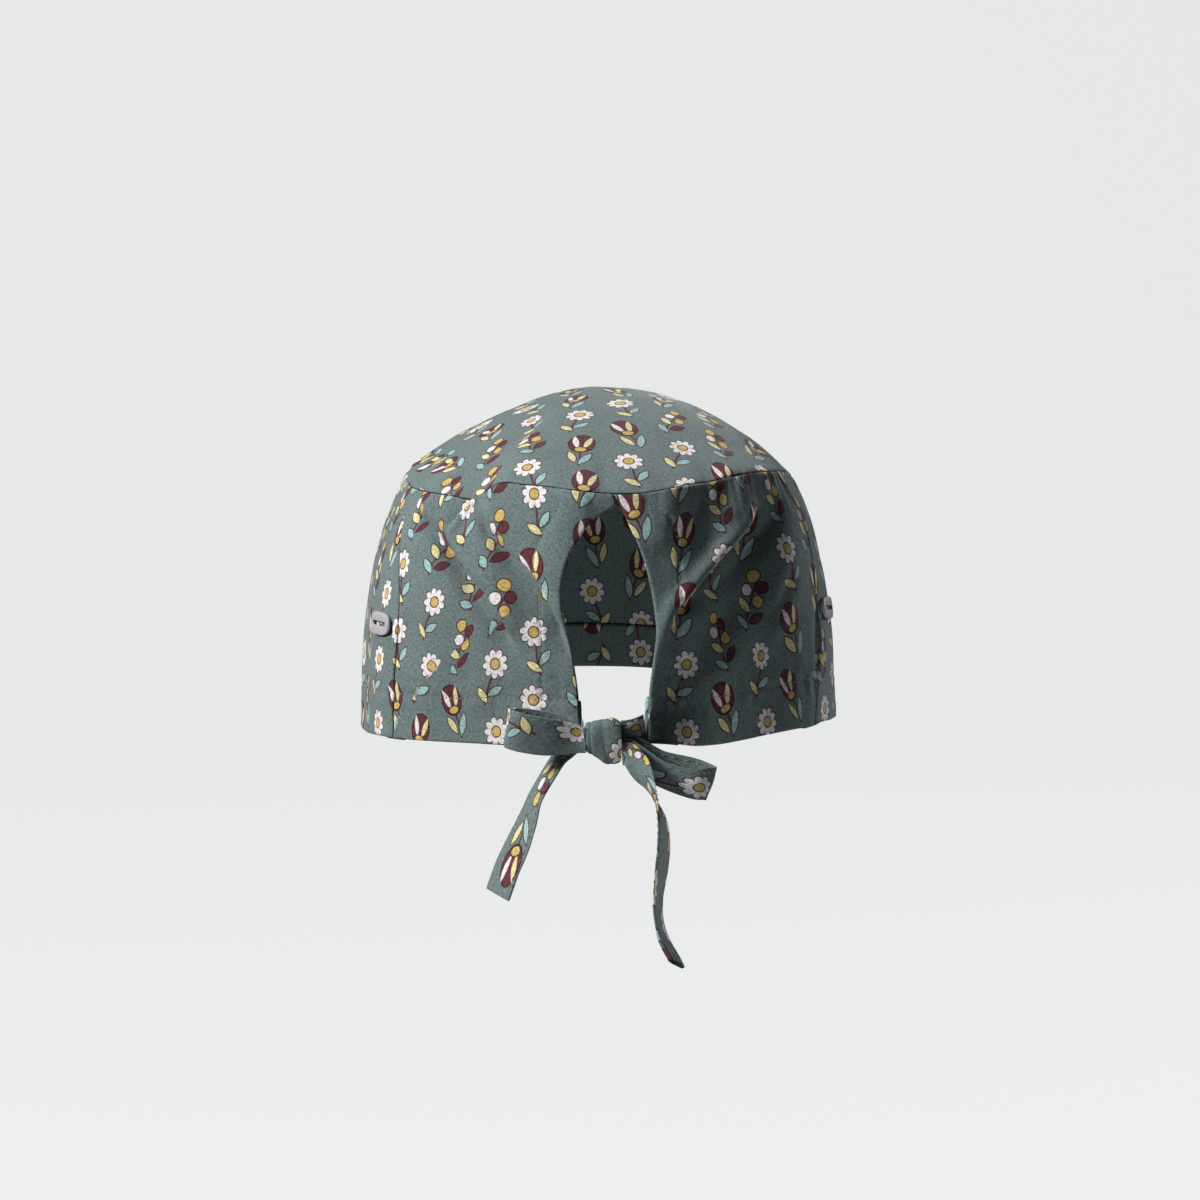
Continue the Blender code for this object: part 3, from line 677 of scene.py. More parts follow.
sprig = [
    (stem, (-10.2, 9.4, 1.1, 0.40), maroon, 0),
    (leaf, ((2.7, -5.0), -38, 3.2, 1.35), maroon, ink),
    (leaf, ((-2.6, -7.2), -142, 3.0, 1.30), pale_blue, ink),
    (leaf, ((-2.5, -1.4), -140, 3.1, 1.35), cream, ink),
    (oval, ((2.6, 0.6), 1.9, 1.9), gold, ink),
    (oval, ((-1.9, 3.6), 1.9, 1.9), petal_white, ink),
    (oval, ((2.9, 5.3), 1.8, 1.8), maroon, ink),
    (oval, ((-0.4, 8.4), 2.0, 2.0), gold, ink),
]


def printed_colour(tree, cloth):
    """The print's colour at a place on the cloth."""
    across, up = parts_of(tree, cloth)
    column_place = reckon(tree, "DIVIDE", across, repeat_across)
    column = reckon(tree, "FLOOR", column_place)
    odd = reckon(tree, "ABSOLUTE", reckon(tree, "MODULO", column, 2.0))
    row_place = reckon(tree, "MULTIPLY_ADD", odd, 0.5, reckon(tree, "DIVIDE", up, repeat_up))
    row = reckon(tree, "FLOOR", row_place)
    x = reckon(tree, "SUBTRACT", reckon(tree, "SUBTRACT", column_place, column), 0.5)
    y = reckon(tree, "SUBTRACT", reckon(tree, "SUBTRACT", row_place, row), 0.5)
    chance = tree.nodes.new("ShaderNodeTexWhiteNoise")
    chance.noise_dimensions = "3D"
    feed(tree, chance, {"Vector": joined(tree, column, row)})
    lean = reckon(tree, "MULTIPLY_ADD", odd, 0.50, -0.25)
    lean = reckon(tree, "MULTIPLY_ADD", reckon(tree, "SUBTRACT", chance.outputs["Value"], 0.5), 0.16, lean)
    x_in_mm = reckon(tree, "MULTIPLY", x, repeat_across * 1000)
    y_in_mm = reckon(tree, "MULTIPLY", y, repeat_up * 1000)
    at = turned_by(tree, joined(tree, x_in_mm, y_in_mm), lean)
    drawn = []
    for motif in (daisy, tulip, sprig):
        colour = ground_teal
        for shape, sizes, fill, line_width in motif:
            colour = paint(tree, colour, shape(tree, at, *sizes), fill, line_width)
        drawn.append(colour)
    is_tulip = fade(tree, chance.outputs["Value"], 0.28, 0.281)
    is_sprig = fade(tree, chance.outputs["Value"], 0.68, 0.681)
    return mix_colour(tree, is_sprig, drawn[2], mix_colour(tree, is_tulip, drawn[0], drawn[1]))


def woven(tree, shader, cloth, colour):
    """Threads, a little unevenness of dye, and a fine weave in relief."""
    slub = tree.nodes.new("ShaderNodeTexNoise")
    feed(tree, slub, {"Vector": cloth, "Scale": 1000.0, "Detail": 3.0, "Roughness": 0.7})
    patch = tree.nodes.new("ShaderNodeTexNoise")
    feed(tree, patch, {"Vector": cloth, "Scale": 60.0, "Detail": 2.0})
    shade = reckon(tree, "MULTIPLY_ADD", slub.outputs[0], 2.0, 0.0)
    shade = reckon(tree, "MULTIPLY", shade, reckon(tree, "MULTIPLY_ADD", patch.outputs[0], 0.24, 0.88))
    shaded = tree.nodes.new("ShaderNodeMix")
    shaded.data_type = "RGBA"
    shaded.blend_type = "MULTIPLY"
    feed(tree, shaded, {0: 1.0, 6: colour, 7: joined(tree, shade, shade, shade)})
    tree.links.new(shaded.outputs[2], shader.inputs["Base Color"])
    warp, weft = (
        reckon(tree, "SINE", reckon(tree, "MULTIPLY", along, 2 * math.pi / thread_pitch))
        for along in parts_of(tree, cloth)
    )
    weave = reckon(tree, "MULTIPLY", warp, weft)
    relief = reckon(tree, "MULTIPLY_ADD", slub.outputs[0], 1.4, reckon(tree, "MULTIPLY", weave, 0.5))
    rough_skin(tree, shader, relief, 0.35, 0.00010)


printed_cotton, cotton_tree, cotton_shader = new_material("printed_cotton", 0.86, 0.18)
cloth_map = cotton_tree.nodes.new("ShaderNodeUVMap")
cloth_map.uv_map = "cloth"
woven(cotton_tree, cotton_shader, cloth_map.outputs[0], printed_colour(cotton_tree, cloth_map.outputs[0]))

# Stitching: short dashes of pale polyester thread, each a small spindle sunk into the cloth.
thread, thread_tree, thread_shader = new_material("pale_thread", 0.55, 0.1)
dark_thread = (0.12, 0.15, 0.145, 1)
light_thread = (0.42, 0.46, 0.44, 1)
thread_place = mottle(thread_tree, thread_shader, 700.0, 2.0, dark_thread, light_thread)[0]
thread_twist = thread_tree.nodes.new("ShaderNodeTexWave")
thread_twist.bands_direction = "DIAGONAL"
feed(thread_tree, thread_twist, {"Vector": thread_place, "Scale": 900.0})
rough_skin(thread_tree, thread_shader, thread_twist.outputs[0], 0.3, 0.00005)


def stitch_mesh(name, starts, ends, ways, width=0.00042, height=0.00026):
    """One spindle for each stitch, from its start to its end, flat on the cloth."""
    bm = bmesh.new()
    for start, end, way in zip(starts, ends, ways):
        along = Vector(end - start)
        out = Vector(way)
        side = out.cross(along).normalized()
        turn = Matrix((along / 2, side * width / 2, out * height / 2)).transposed().to_4x4()
        middle = Vector((start + end) / 2)
        bmesh.ops.create_icosphere(bm, subdivisions=1, radius=1, matrix=Matrix.Translation(middle) @ turn)
    bmesh.ops.recalc_face_normals(bm, faces=bm.faces)
    mesh = bpy.data.meshes.new(name)
    bm.to_mesh(mesh)
    bm.free()
    mesh.shade_smooth()
    return mesh


def wall_outside(arc, rise):
    return wall_face(arc, rise) + wall_way(arc, rise) * wall_detail(arc, rise, 0 * arc)[:, None]


def wall_stitches(name, arcs, rises, share=0.66):
    """Dashes along a line on the wall, one from each point to the next."""
    arcs, rises = np.asarray(arcs), np.asarray(rises)
    start = wall_outside(arcs[:-1], rises[:-1])
    end_arc = arcs[:-1] + (arcs[1:] - arcs[:-1]) * share
    end_rise = rises[:-1] + (rises[1:] - rises[:-1]) * share
    end = wall_outside(end_arc, end_rise)
    way = wall_way(end_arc, end_rise)
    lift = way * 0.00005
    return stitch_mesh(name, start + lift, end + lift, way)


def add_stitches(name, mesh):
    return add_piece(name, mesh, thread)


def line_points(line, pitch):
    """Evenly spaced places along a stitching line, as distance round and height."""
    points = np.array(line, dtype=float) / 1000
    run = np.concatenate([[0], np.cumsum(np.linalg.norm(np.diff(points, axis=0), axis=1))])
    at = np.arange(0, run[-1], pitch)
    return np.interp(at, run, points[:, 0]), np.interp(at, run, points[:, 1])


# The front panel: the plain part of the wall, from one side seam round the front to the other. Its
# lower edge is turned up inside as the hem, and its ends and top are turned into their seams.
hem_turn = 0.0152
seam_turn = 0.0045
front_stitch_pitch = 0.00245
front_rows = [12, 8, 78, 6, 3]
front_columns = [3, 6, 300, 6, 3]


def wall_strip(share, rows):
    return cloth_strip(share, rows, 0, wall_height - seam_gap, hem_fold_radius, seam_fold_radius,
                       hem_turn, seam_turn)


def front_place(a, b):
    up_flat, up, up_depth = wall_strip(b, front_rows)
    rise = up / wall_height
    start = seam_round(1, rise) + seam_gap
    end = hem_length - seam_round(-1, rise) - seam_gap
    round_flat, around, round_depth = cloth_strip(
        a, front_columns, start, end, seam_fold_radius, seam_fold_radius, seam_turn, seam_turn)
    depth = up_depth + round_depth
    out = wall_detail(around, rise, depth) - depth
    points = wall_face(around, rise) + wall_way(around, rise) * out[:, None]
    return points, np.stack([round_flat, up_flat], axis=-1)


front_mesh = sheet_mesh("front_panel_cloth", sum(front_columns), sum(front_rows), front_place)
front_panel_cloth = add_piece("front_panel_cloth", front_mesh, printed_cotton, ("front_panel", "hem_front"))
thicken(front_panel_cloth)
hem_stitch_rise = hem_height / wall_height
front_hem_arcs = np.arange(0.0885, hem_length - 0.0945, front_stitch_pitch)
front_hem_stitches = add_stitches("front_hem_stitches", wall_stitches(
    "front_hem_stitches", front_hem_arcs, np.full(len(front_hem_arcs), hem_stitch_rise)))

# The back panels: two pieces that meet above the keyhole. Each is faced along the keyhole's edge
# and hemmed below, and the pull of the tied bow drags its cloth into folds towards the knot.
apex_overlap = 0.0024
apex_level = 0.0850
apex_reach = 0.0045
apex_width = 0.012
left_apex_lift = 0.0007
right_apex_lift = -0.0004
back_stitch_pitch = 0.00235
facing_stitch_pitch = 0.0023
seam_thread_inset = 0.0009
back_rows = [12, 8, 112, 6, 3]
back_columns = [8, 8, 165, 6, 3]


def back_place(side):
    def place(a, b):
        up_flat, up, up_depth = wall_strip(b, back_rows)
        rise = up / wall_height
        near_apex = np.exp(-(((up - apex_level) / apex_reach) ** 2))
        edge = np.maximum(keyhole_edge(side, up), seam_gap) + side * apex_overlap * near_apex
        seam = seam_round(side, rise) - seam_gap
        round_flat, around, round_depth = cloth_strip(
            a if side > 0 else 1 - a, back_columns, edge, seam, hem_fold_radius, seam_fold_radius,
            facing_width, seam_turn)
        arc = side * around
        depth = up_depth + round_depth
        out = wall_detail(arc, rise, depth) - depth
        apex_lift = left_apex_lift if side < 0 else right_apex_lift
        out += near_apex * np.clip(1 - around / apex_width, 0, 1) * apex_lift
        points = wall_face(arc, rise) + wall_way(arc, rise) * out[:, None]
        cloth_round = round_flat + hidden_cloth(arc, wall_level(arc, rise))
        return points, np.stack([side * cloth_round, up_flat], axis=-1)

    return place


# Columns: side, its name, line of stitching beside the keyhole, start and end of the hem's stitches
for side, side_name, facing_line, first_arc, last_arc in (
    (-1, "left", left_facing_line, 0.0140, 0.0915),
    (1, "right", right_facing_line, 0.0160, 0.0860),
):
    back_mesh = sheet_mesh(
        "back_panel_cloth_" + side_name, sum(back_columns), sum(back_rows), back_place(side))
    nodes = [part + side_name for part in ("back_panel_", "hem_", "facing_")]
    back_cloth = add_piece("back_panel_cloth_" + side_name, back_mesh, printed_cotton, nodes)
    thicken(back_cloth)
    hem_arcs = np.arange(first_arc, last_arc, back_stitch_pitch) * side
    hem_line = wall_stitches("hem_stitches_" + side_name, hem_arcs, np.full(len(hem_arcs), hem_stitch_rise))
    facing_arcs, facing_heights = line_points(facing_line, facing_stitch_pitch)
    facing_rises = facing_heights / wall_level(facing_arcs, np.ones(len(facing_arcs)))
    facing_stitches = wall_stitches("facing_stitches_" + side_name, facing_arcs, facing_rises)
    sewn = [
        add_stitches("hem_stitches_" + side_name, hem_line),
        add_stitches("facing_stitches_" + side_name, facing_stitches),
    ]
    if side > 0:
        seam_rises = np.linspace(0.03, 0.94, 40)
        seam_arcs = seam_round(side, seam_rises) - seam_thread_inset
        seam_thread = wall_stitches("seam_stitches_right", seam_arcs, seam_rises, 0.88)
        sewn.append(add_stitches("seam_stitches_right", seam_thread))

# The crown: an oval piece sewn round the top of the wall. Its edge is turned down into the seam,
# and the cloth puckers along it.
crown_rise = 0.0248
crown_roundness = 2.1
crown_skew = 0.20
crown_gather_height = 0.00050
crown_gather_reach = 0.009
crown_cells = 150


def crown_face(x, y):
    """The crown's outer face for places in the unit disc; -Y is the back."""
    radius = np.minimum(np.hypot(x, y), 1.0)
    arc = np.arctan2(x, -y) / (2 * np.pi) * hem_length
    edge = wall_face(arc, np.ones(len(arc)))
    level = wall_height + crown_rise * (1 - radius**crown_roundness) * (1 + crown_skew * x)
    return np.stack([edge[:, 0] * radius, edge[:, 1] * radius,
                     level + (edge[:, 2] - wall_height) * radius**2], axis=-1)


def crown_place(a, b):
    x, y = 2 * a - 1, 2 * b - 1
    disc_x, disc_y = x * np.sqrt(1 - y * y / 2), y * np.sqrt(1 - x * x / 2)
    share = np.hypot(disc_x, disc_y)
    cos, sin = disc_x / np.maximum(share, 1e-9), disc_y / np.maximum(share, 1e-9)
    arc = np.arctan2(disc_x, -disc_y) / (2 * np.pi) * hem_length
    edge = wall_face(arc, np.ones(len(arc)))
    reach = np.hypot(edge[:, 0], edge[:, 1])
    r = seam_fold_radius
    bend_end = reach + r * (math.pi - 1)
    flat = spread(share, [60, 8, 4], (0 * reach, reach - r, bend_end, bend_end + seam_turn))
    place, depth = fold_in(flat, reach, r, -1)
    radius = place / reach
    inner = np.minimum(radius, 0.985)
    along = crown_face((inner + 0.012) * cos, (inner + 0.012) * sin)
    along = along - crown_face((inner - 0.012) * cos, (inner - 0.012) * sin)
    turn = 0.02
    next_x = cos * math.cos(turn) - sin * math.sin(turn)
    next_y = cos * math.sin(turn) + sin * math.cos(turn)
    ring = np.maximum(inner, 0.02)
    round_way = crown_face(ring * next_x, ring * next_y) - crown_face(ring * cos, ring * sin)
    up = unit(np.cross(along, round_way))
    at_seam = wall_way(arc, np.full(len(arc), 0.996))
    near_seam = radius[:, None] ** 12
    way = unit(up * (1 - near_seam) + at_seam * near_seam)
    face = crown_face(radius * cos, radius * sin)
    from_seam = reach * (1 - radius)
    gathers = crumple(arc, 0 * arc, 0.0050, 16) + 0.6 * crumple(arc, 0 * arc, 0.0023, 17)
    out = 0.00085 * crumple(face[:, 0], face[:, 1], 0.034, 13) * np.minimum(1, from_seam / 0.02)
    out += 0.00030 * crumple(face[:, 0], face[:, 1], 0.012, 14)
    out += 0.00008 * crumple(face[:, 0], face[:, 1], 0.0036, 15)
    near_edge = np.exp(-from_seam / crown_gather_reach) * np.minimum(1, from_seam / 0.0015)
    out += crown_gather_height * gathers * near_edge
    out -= seam_groove_depth * np.exp(-((from_seam / groove_width) ** 2))
    points = face + way * (out - depth)[:, None]
    return points, np.stack([flat * cos, flat * sin], axis=-1)


crown_mesh = sheet_mesh("crown_cloth", crown_cells, crown_cells, crown_place)
crown_cloth = add_piece("crown_cloth", crown_mesh, printed_cotton, ("crown_panel",))
thicken(crown_cloth)

# The bow's straps: folded tape of the same cotton, stitched close to one edge. Each strap is made
# round its own centre line, and its relief stands for the layers of cloth folded inside it.
tie_width = 0.0138
tie_thickness = 0.0011
knot_length = 0.0120
knot_height = 0.0162
knot_depth = 0.0104
hem_middle = float(on_plan(np.zeros(1))[0, 1])
knot = np.array([-0.0029, hem_middle - knot_depth / 2 + seam_gap, 0.0025])
ribbon_pitch = tie_thickness + 3 * seam_gap
knot_end = knot_length / 2 + seam_gap
strap_cells_round = 34
stitches_from_edge = 0.0014
strap_stitch_pitch = 0.0021
tip_start = 0.93


def strap_line(stations):
    """Centre, width, direction across and direction through a strap, at shares along it."""
    rows = [(k / (len(stations) - 1), *centre, width, *across)
            for k, (centre, width, across) in enumerate(stations)]

    def at(share):
        def centre_at(s):
            return np.stack([eased(rows, column, s) for column in (1, 2, 3)], axis=-1)

        forward = unit(centre_at(np.minimum(share + 0.01, 1)) - centre_at(np.maximum(share - 0.01, 0)))
        across = np.stack([eased(rows, column, share) for column in (5, 6, 7)], axis=-1)
        across = unit(across - forward * np.sum(forward * across, axis=-1, keepdims=True))
        return centre_at(share), eased(rows, 4, share), across, np.cross(forward, across)

    return at


def strap_length(at):
    centres = at(np.linspace(0, 1, 200))[0]
    return float(np.linalg.norm(np.diff(centres, axis=0), axis=1).sum())


def strap_relief(share, across, length, seed):
    """Wrinkles across a strap, and the groove beside each of its edges."""
    run = share * length
    edge = np.abs(np.abs(across) - 1 + 0.20)
    groove = -0.00016 * np.exp(-((edge / 0.05) ** 2))
    waves = 0.00028 * crumple(run, across * 0.006, 0.0075, seed)
    waves += 0.00011 * crumple(run, across * 0.009, 0.0032, seed + 1)
    return groove + waves


def strap_mesh(name, at, cells_along, seed, open_tip):
    """A strap as a closed skin: flat faces, round edges, and closed ends."""
    length = strap_length(at)

    def place(a, b):
        turn = 2 * np.pi * b
        across = -np.cos(turn)
        through = np.sign(np.sin(turn)) * np.abs(np.sin(turn)) ** 0.42
        centre, width, across_way, through_way = at(a)
        swell = 1 + open_tip * np.clip((a - tip_start) / 0.07, 0, 1) ** 2
        skin = tie_thickness / 2 * swell + strap_relief(a, across, length, seed)
        drift = 0.00025 * crumple(a * length, across * 0.004, 0.012, seed + 2)
        points = centre + across_way * (across * width / 2)[:, None]
        points += through_way * (through * skin + drift * (1 - across**2))[:, None]
        around = np.where(b < 0.5, across, 2 - across) * tie_width / 2
        return points, np.stack([around + 0.031 * seed, a * length + 0.017 * seed], axis=-1)

    mesh = sheet_mesh(name, cells_along, strap_cells_round, place)
    bm = bmesh.new()
    bm.from_mesh(mesh)
    bmesh.ops.remove_doubles(bm, verts=bm.verts, dist=1e-6)
    caps = bmesh.ops.holes_fill(bm, edges=[e for e in bm.edges if e.is_boundary], sides=0)["faces"]
    bmesh.ops.recalc_face_normals(bm, faces=bm.faces)
    if open_tip:
        inner, end = at(np.array([tip_start, 1.0]))[0]
        tip = min(caps, key=lambda face: np.linalg.norm(np.array(face.calc_center_median()) - end))
        bmesh.ops.inset_region(bm, faces=[tip], thickness=0.00035, depth=0.0)
        bmesh.ops.translate(bm, verts=tip.verts, vec=Vector(inner - end))
    bm.to_mesh(mesh)
    bm.free()
    mesh.shade_smooth()
    return mesh


def strap_stitches(name, at, face, start, end):
    """Dashes close to one edge of one face of a strap."""
    count = max(3, int((end - start) * strap_length(at) / strap_stitch_pitch))
    shares = np.linspace(start, end, count)
    later = shares + (end - start) / count * 0.62
    ends = []
    for share in (shares, later):
        centre, width, across_way, through_way = at(np.minimum(share, 1))
        lift = face * (tie_thickness / 2 + 0.00002)
        ends.append(centre + across_way * (width / 2 - stitches_from_edge)[:, None] + through_way * lift)
    return stitch_mesh(name, *ends, at(shares)[3] * face, width=0.00036, height=0.00022)


def from_knot(side, out, layer, up):
    return knot + np.array([side * (knot_end + out), layer * ribbon_pitch, up])


def finish_strap(name, node, at, cells_along, seed, faces, flat=None, start=0.05,
                 open_tip=0.0):
    """Add a strap, with stitches on the given faces from a start along it nearly to its end."""
    piece = add_piece(name, strap_mesh(name, at, cells_along, seed, open_tip), printed_cotton, (node,))
    sewn = [
        add_stitches(name + where, strap_stitches(name + "_stitches", at, face, start, 0.97))
        for where, face in zip(("_stitches_near", "_stitches_far"), faces)
    ]
    flat or (tie_width, strap_length(at))


left_loop_reach = 0.0320 - knot_length / 2
right_loop_reach = 0.0360 - knot_length / 2
left_drop = 0.0520
right_drop = 0.0750

# Loops. Columns: distance out, layer, height, width, as shares of the loop's reach and the tie's
# width; a layer is one thickness of tie with the gaps beside it
left_loop = [
    (0.00, -2.0, 0.16, 0.64),
    (0.05, -2.0, 0.16, 0.64),
    (0.20, -2.3, 0.21, 0.78),
    (0.50, -3.2, 0.28, 0.93),
    (0.80, -3.4, 0.38, 0.96),
    (0.95, -2.8, 0.45, 0.97),
    (1.00, -2.0, 0.47, 0.97),
    (0.97, -1.3, 0.49, 0.96),
    (0.80, -0.8, 0.47, 0.95),
    (0.48, -0.5, 0.38, 0.90),
    (0.20, -0.8, 0.24, 0.76),
    (0.05, -1.0, 0.18, 0.64),
    (0.00, -1.0, 0.18, 0.64),
]
right_loop = [
    (0.00, -1.0, -0.18, 0.64),
    (0.07, -1.0, -0.18, 0.64),
    (0.17, -1.3, -0.32, 0.66),
    (0.45, -2.3, -0.70, 0.64),
    (0.78, -2.7, -0.93, 0.74),
    (0.96, -1.9, -0.96, 0.85),
    (1.00, -1.2, -0.96, 0.87),
    (0.96, -0.5, -0.93, 0.88),
    (0.78, 0.3, -0.79, 0.88),
    (0.42, 0.5, -0.58, 0.84),
    (0.17, 0.2, -0.20, 0.72),
    (0.07, 0.0, -0.08, 0.64),
    (0.00, 0.0, -0.08, 0.64),
]


def loop_line(side, reach, rows, lean):
    stations = []
    for out, layer, up, width in rows:
        angle = math.radians(lean) * math.sin(math.pi / 2 * out)
        across = (math.sin(angle), 0, math.cos(angle))
        stations.append((from_knot(side, out * reach, layer, up * tie_width), width * tie_width, across))
    return strap_line(stations)


left_loop_line = loop_line(-1, left_loop_reach, left_loop, 9)
right_loop_line = loop_line(1, right_loop_reach, right_loop, 20)
finish_strap("left_loop", "bow_loop_left", left_loop_line, 120, 21, (-1, 1))
finish_strap("right_loop", "bow_loop_right", right_loop_line, 130, 22, (-1, 1))

# The free ends of the ties, which come out of the knot and hang down. Columns: distance out and
# height as shares of the drop, layer, width, and twist in degrees
left_tail = [
    (0.000, 0.022, 0.0, 0.44, 0),
    (0.034, 0.022, 0.0, 0.44, 0),
    (0.080, -0.002, 0.1, 0.46, -15),
    (0.160, -0.080, 0.5, 0.60, -58),
    (0.240, -0.205, 0.6, 0.86, -73),
    (0.322, -0.350, 0.4, 1.00, -76),
    (0.380, -0.510, 0.0, 1.00, -67),
    (0.440, -0.655, -0.4, 1.00, -59),
    (0.515, -0.820, -0.8, 1.00, -57),
    (0.575, -0.985, -1.0, 1.00, -57),
]
right_tail = [
    (0.000, -0.034, -2.0, 0.56, 0),
    (0.026, -0.034, -2.0, 0.56, 0),
    (0.056, -0.060, -3.0, 0.58, -8),
    (0.096, -0.124, -4.3, 0.70, -48),
    (0.127, -0.185, -4.7, 0.84, -76),
    (0.146, -0.240, -4.8, 0.96, -88),
    (0.172, -0.330, -4.6, 1.00, -103),
    (0.184, -0.450, -3.8, 1.00, -112),
    (0.174, -0.590, -3.0, 1.00, -112),
    (0.162, -0.730, -2.5, 1.00, -106),
    (0.180, -0.860, -3.0, 1.00, -102),
    (0.240, -0.985, -6.2, 1.00, -100),
]


def tail_line(side, drop, rows):
    centres = [from_knot(side, out * drop, layer, up * drop) for out, up, layer, _, _ in rows]
    stations = []
    for k, (_, _, _, width, twist) in enumerate(rows):
        forward = centres[min(k + 1, len(rows) - 1)] - centres[max(k - 1, 0)]
        level = unit(np.array([-forward[2], 0, forward[0]]))
        angle = math.radians(twist)
        across = level * math.cos(angle) + np.array([0, math.sin(angle), 0])
        stations.append((centres[k], width * tie_width, across))
    return strap_line(stations)


left_tail_line = tail_line(-1, left_drop, left_tail)
right_tail_line = tail_line(1, right_drop, right_tail)
finish_strap("left_tail", "tie_tail_left", left_tail_line, 110, 23, (-1, 1), start=0.2)
finish_strap("right_tail", "tie_tail_right", right_tail_line, 130, 24, (-1, 1), start=0.18,
             open_tip=0.5)

# The leads: the short runs of tie from the two ends of the hem into the knot. Each starts clear of
# its hem end and narrows on its way to the knot.
lead_flat = (0.0101, 0.0101)
width_at_hem = 0.72
width_at_knot = 0.58
wall_solid = 0.0015
facing_back = 0.0028


def lead_line(side):
    low, high = np.zeros(3), np.array([0, hem_height / wall_height / 2, hem_height / wall_height])
    arcs = side * keyhole_edge(side, high * wall_height)
    face, way = wall_face(arcs, high), wall_way(arcs, high)
    nearest = min(np.abs((face - way * depth)[:, 0]).min() for depth in (0, wall_solid, facing_back))
    end_rise = np.array([hem_height / wall_height * 0.32])
    end_arc = side * keyhole_edge(side, np.zeros(1))
    hem_end = (wall_face(end_arc, end_rise) - wall_way(end_arc, end_rise) * wall_solid / 2)[0]
    hem_end[0] = side * (nearest - seam_gap)
    into_knot = from_knot(side, 0, 0, knot_height * 0.22)
    into_knot[1] = knot[1] + knot_depth / 2 - 2 * seam_gap - tie_thickness / 2
    stations = []
    for k in range(7):
        along = k / 6
        ease = 1 - (1 - along) ** 2
        centre = hem_end + (into_knot - hem_end) * ease
        centre[0] = hem_end[0] + (into_knot[0] - hem_end[0]) * along
        width = tie_width * (width_at_hem + (width_at_knot - width_at_hem) * ease)
        stations.append((centre, width, (0, 0, 1)))
    return strap_line(stations)


finish_strap(
    "left_lead", "tie_lead_left", lead_line(-1), 40, 25, (-1,), lead_flat)
finish_strap("right_lead", "tie_lead_right", lead_line(1), 40, 26, (1,), lead_flat)

# The knot: the tie wrapped once round the bow and pulled tight. It is narrow on its left and flares
# to its right. Columns: share along from the middle, height and lift as shares of the knot's height
knot_shape = [
    (-1.0, 0.64, 0.16),
    (-0.4, 0.78, 0.12),
    (0.1, 0.96, 0.07),
    (0.6, 1.00, 0.06),
    (1.0, 0.92, 0.05),
]
# Columns: place along, swing round the knot, depth, width
knot_creases = [(-0.66, 0.12, 0.060, 0.07), (0.30, -0.35, 0.035, 0.16)]


def knot_mesh():
    bm = bmesh.new()
    bmesh.ops.create_cube(bm, size=2)
    bmesh.ops.subdivide_edges(bm, edges=bm.edges, cuts=39, use_grid_fill=True)
    mesh = bpy.data.meshes.new("knot_wrap")
    bmesh.ops.recalc_face_normals(bm, faces=bm.faces)
    bm.to_mesh(mesh)
    bm.free()
    x, y, z = corners_of(mesh).T
    round_y, round_z = y * np.sqrt(1 - 0.42 * z**2), z * np.sqrt(1 - 0.42 * y**2)
    girth = 0.90 + 0.10 * (1 - x**4)
    turn = np.arctan2(round_z, -round_y)
    sides = 1 - x**6
    for start, swing, depth, width in knot_creases:
        crease = start + swing * np.sin(turn + start * 3)
        girth -= depth * np.exp(-(((x - crease) / width) ** 2)) * sides
    girth += 0.030 * crumple(x * 0.006 + 1, turn * 0.006 + 1, 0.0042, 31)
    points = knot + np.stack([
        x * knot_length / 2,
        round_y * girth * knot_depth / 2,
        eased(knot_shape, 2, x) * knot_height + round_z * girth * eased(knot_shape, 1, x) * knot_height / 2,
    ], axis=-1)
    lay_out(mesh, points, np.stack([x * knot_length / 2 + 0.0206, turn * 0.0068 + 0.031], axis=-1))
    return mesh


knot_wrap = add_piece("knot_wrap", knot_mesh(), printed_cotton, ("tie_knot",))

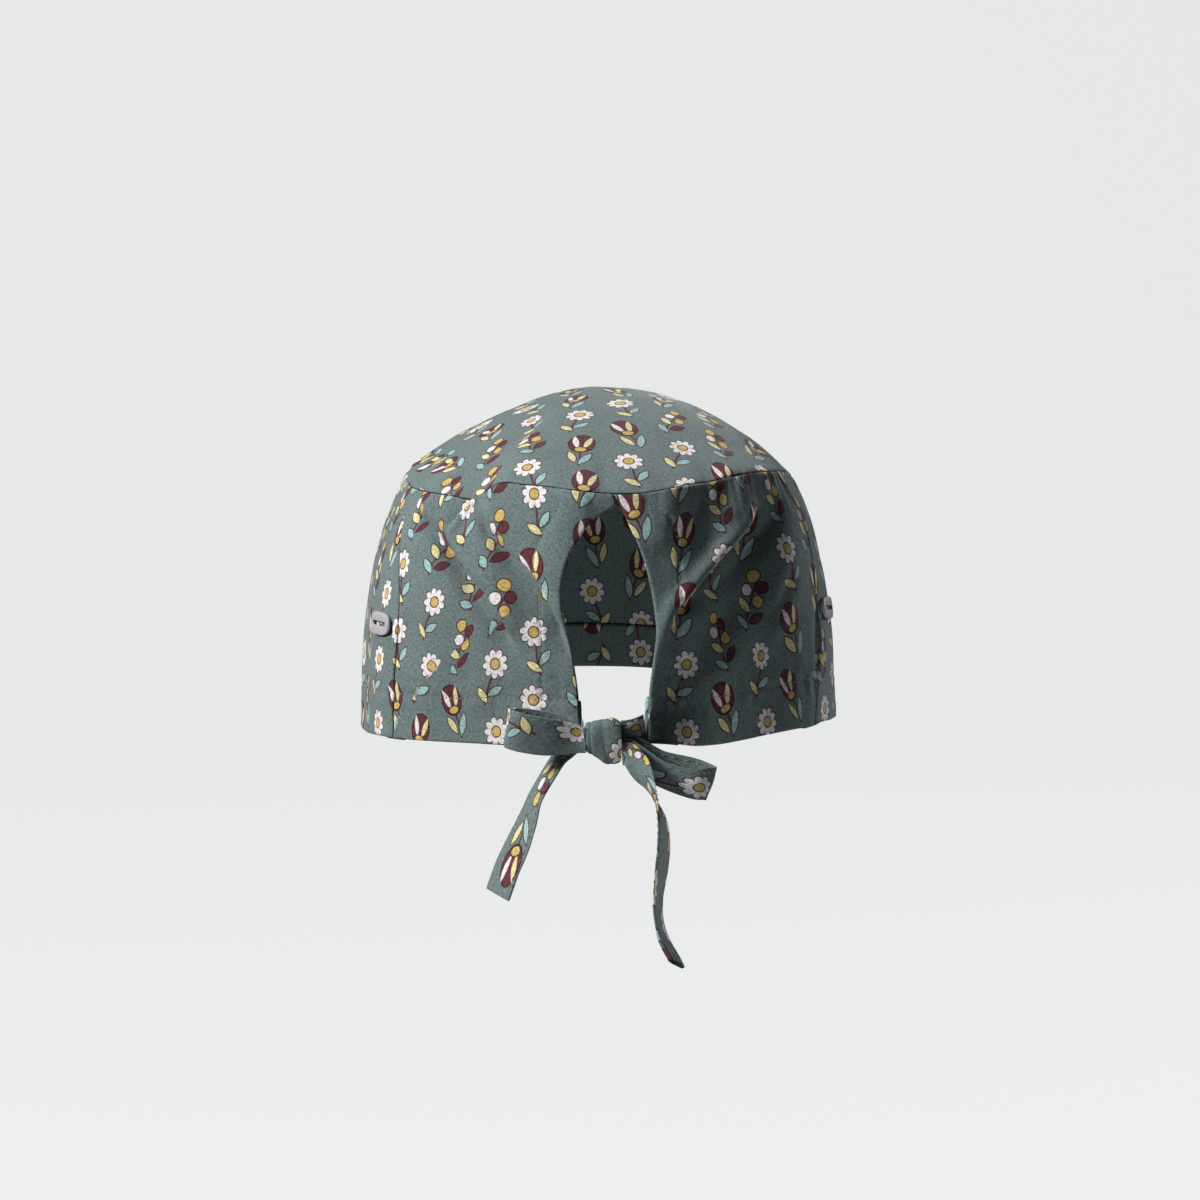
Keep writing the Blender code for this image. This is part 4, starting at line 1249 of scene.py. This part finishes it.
# The side tabs: two small grey plastic plates with one slot each, stitched or clipped on the
# outside of the front panel just in front of the side seams, bent to the wall.
tab_length = 0.0195
tab_height = 0.0080
tab_thickness = 0.0010
slot_length = 0.0138
slot_height = 0.0015
tab_bevel = 0.00028
tab_arc = 0.1060
tab_rise = 0.0405
tab_plastic, tab_tree, tab_shader = new_material("grey_satin_plastic", 0.36, 0.0)
dark_grey = (0.40, 0.38, 0.43, 1)
light_grey = (0.52, 0.50, 0.55, 1)
tab_noise = mottle(tab_tree, tab_shader, 260.0, 4.0, dark_grey, light_grey)[1]
tab_tree.links.new(reckon(tab_tree, "MULTIPLY_ADD", tab_noise, 0.22, 0.28), tab_shader.inputs["Roughness"])
rough_skin(tab_tree, tab_shader, tab_noise, 0.15, 0.00004)


def tab_mesh(side):
    """Four rings of points bent to the wall and bridged, with the sharp edges rounded."""
    bm = bmesh.new()
    rim, slot = (tab_length, tab_height, 3.2), (slot_length, slot_height, 6.0)
    back, face = seam_gap, seam_gap + tab_thickness
    rings = []
    for depth, (length, height, squareness) in ((back, rim), (face, rim), (face, slot), (back, slot)):
        ring = bmesh.ops.create_circle(bm, segments=96, radius=1, cap_ends=False)["verts"]
        turn = np.array([math.atan2(v.co.y, v.co.x) for v in ring])
        across = np.sign(np.cos(turn)) * np.abs(np.cos(turn)) ** (2 / squareness) * length / 2
        up = np.sign(np.sin(turn)) * np.abs(np.sin(turn)) ** (2 / squareness) * height / 2
        arc, rise = side * tab_arc + across, (tab_rise + up) / wall_height
        points = wall_face(arc, rise) + wall_way(arc, rise) * (depth + 0.0003)
        for vertex, point in zip(ring, points):
            vertex.co = point
        rings.append([edge for edge in bm.edges if edge.verts[0] in ring and edge.verts[1] in ring])
    for ring, following in zip(rings, rings[1:] + rings[:1]):
        bmesh.ops.bridge_loops(bm, edges=ring + following)
    bmesh.ops.recalc_face_normals(bm, faces=bm.faces)
    corners = [edge for ring in rings for edge in ring]
    bmesh.ops.bevel(
        bm, geom=corners, offset=tab_bevel, segments=3, profile=0.5, affect="EDGES", material=-1)
    mesh = bpy.data.meshes.new("side_tab")
    bm.to_mesh(mesh)
    bm.free()
    mesh.shade_smooth()
    return mesh


for side, side_name in ((-1, "left"), (1, "right")):
    add_piece("slotted_tab_" + side_name, tab_mesh(side), tab_plastic, ("side_tab_" + side_name,))
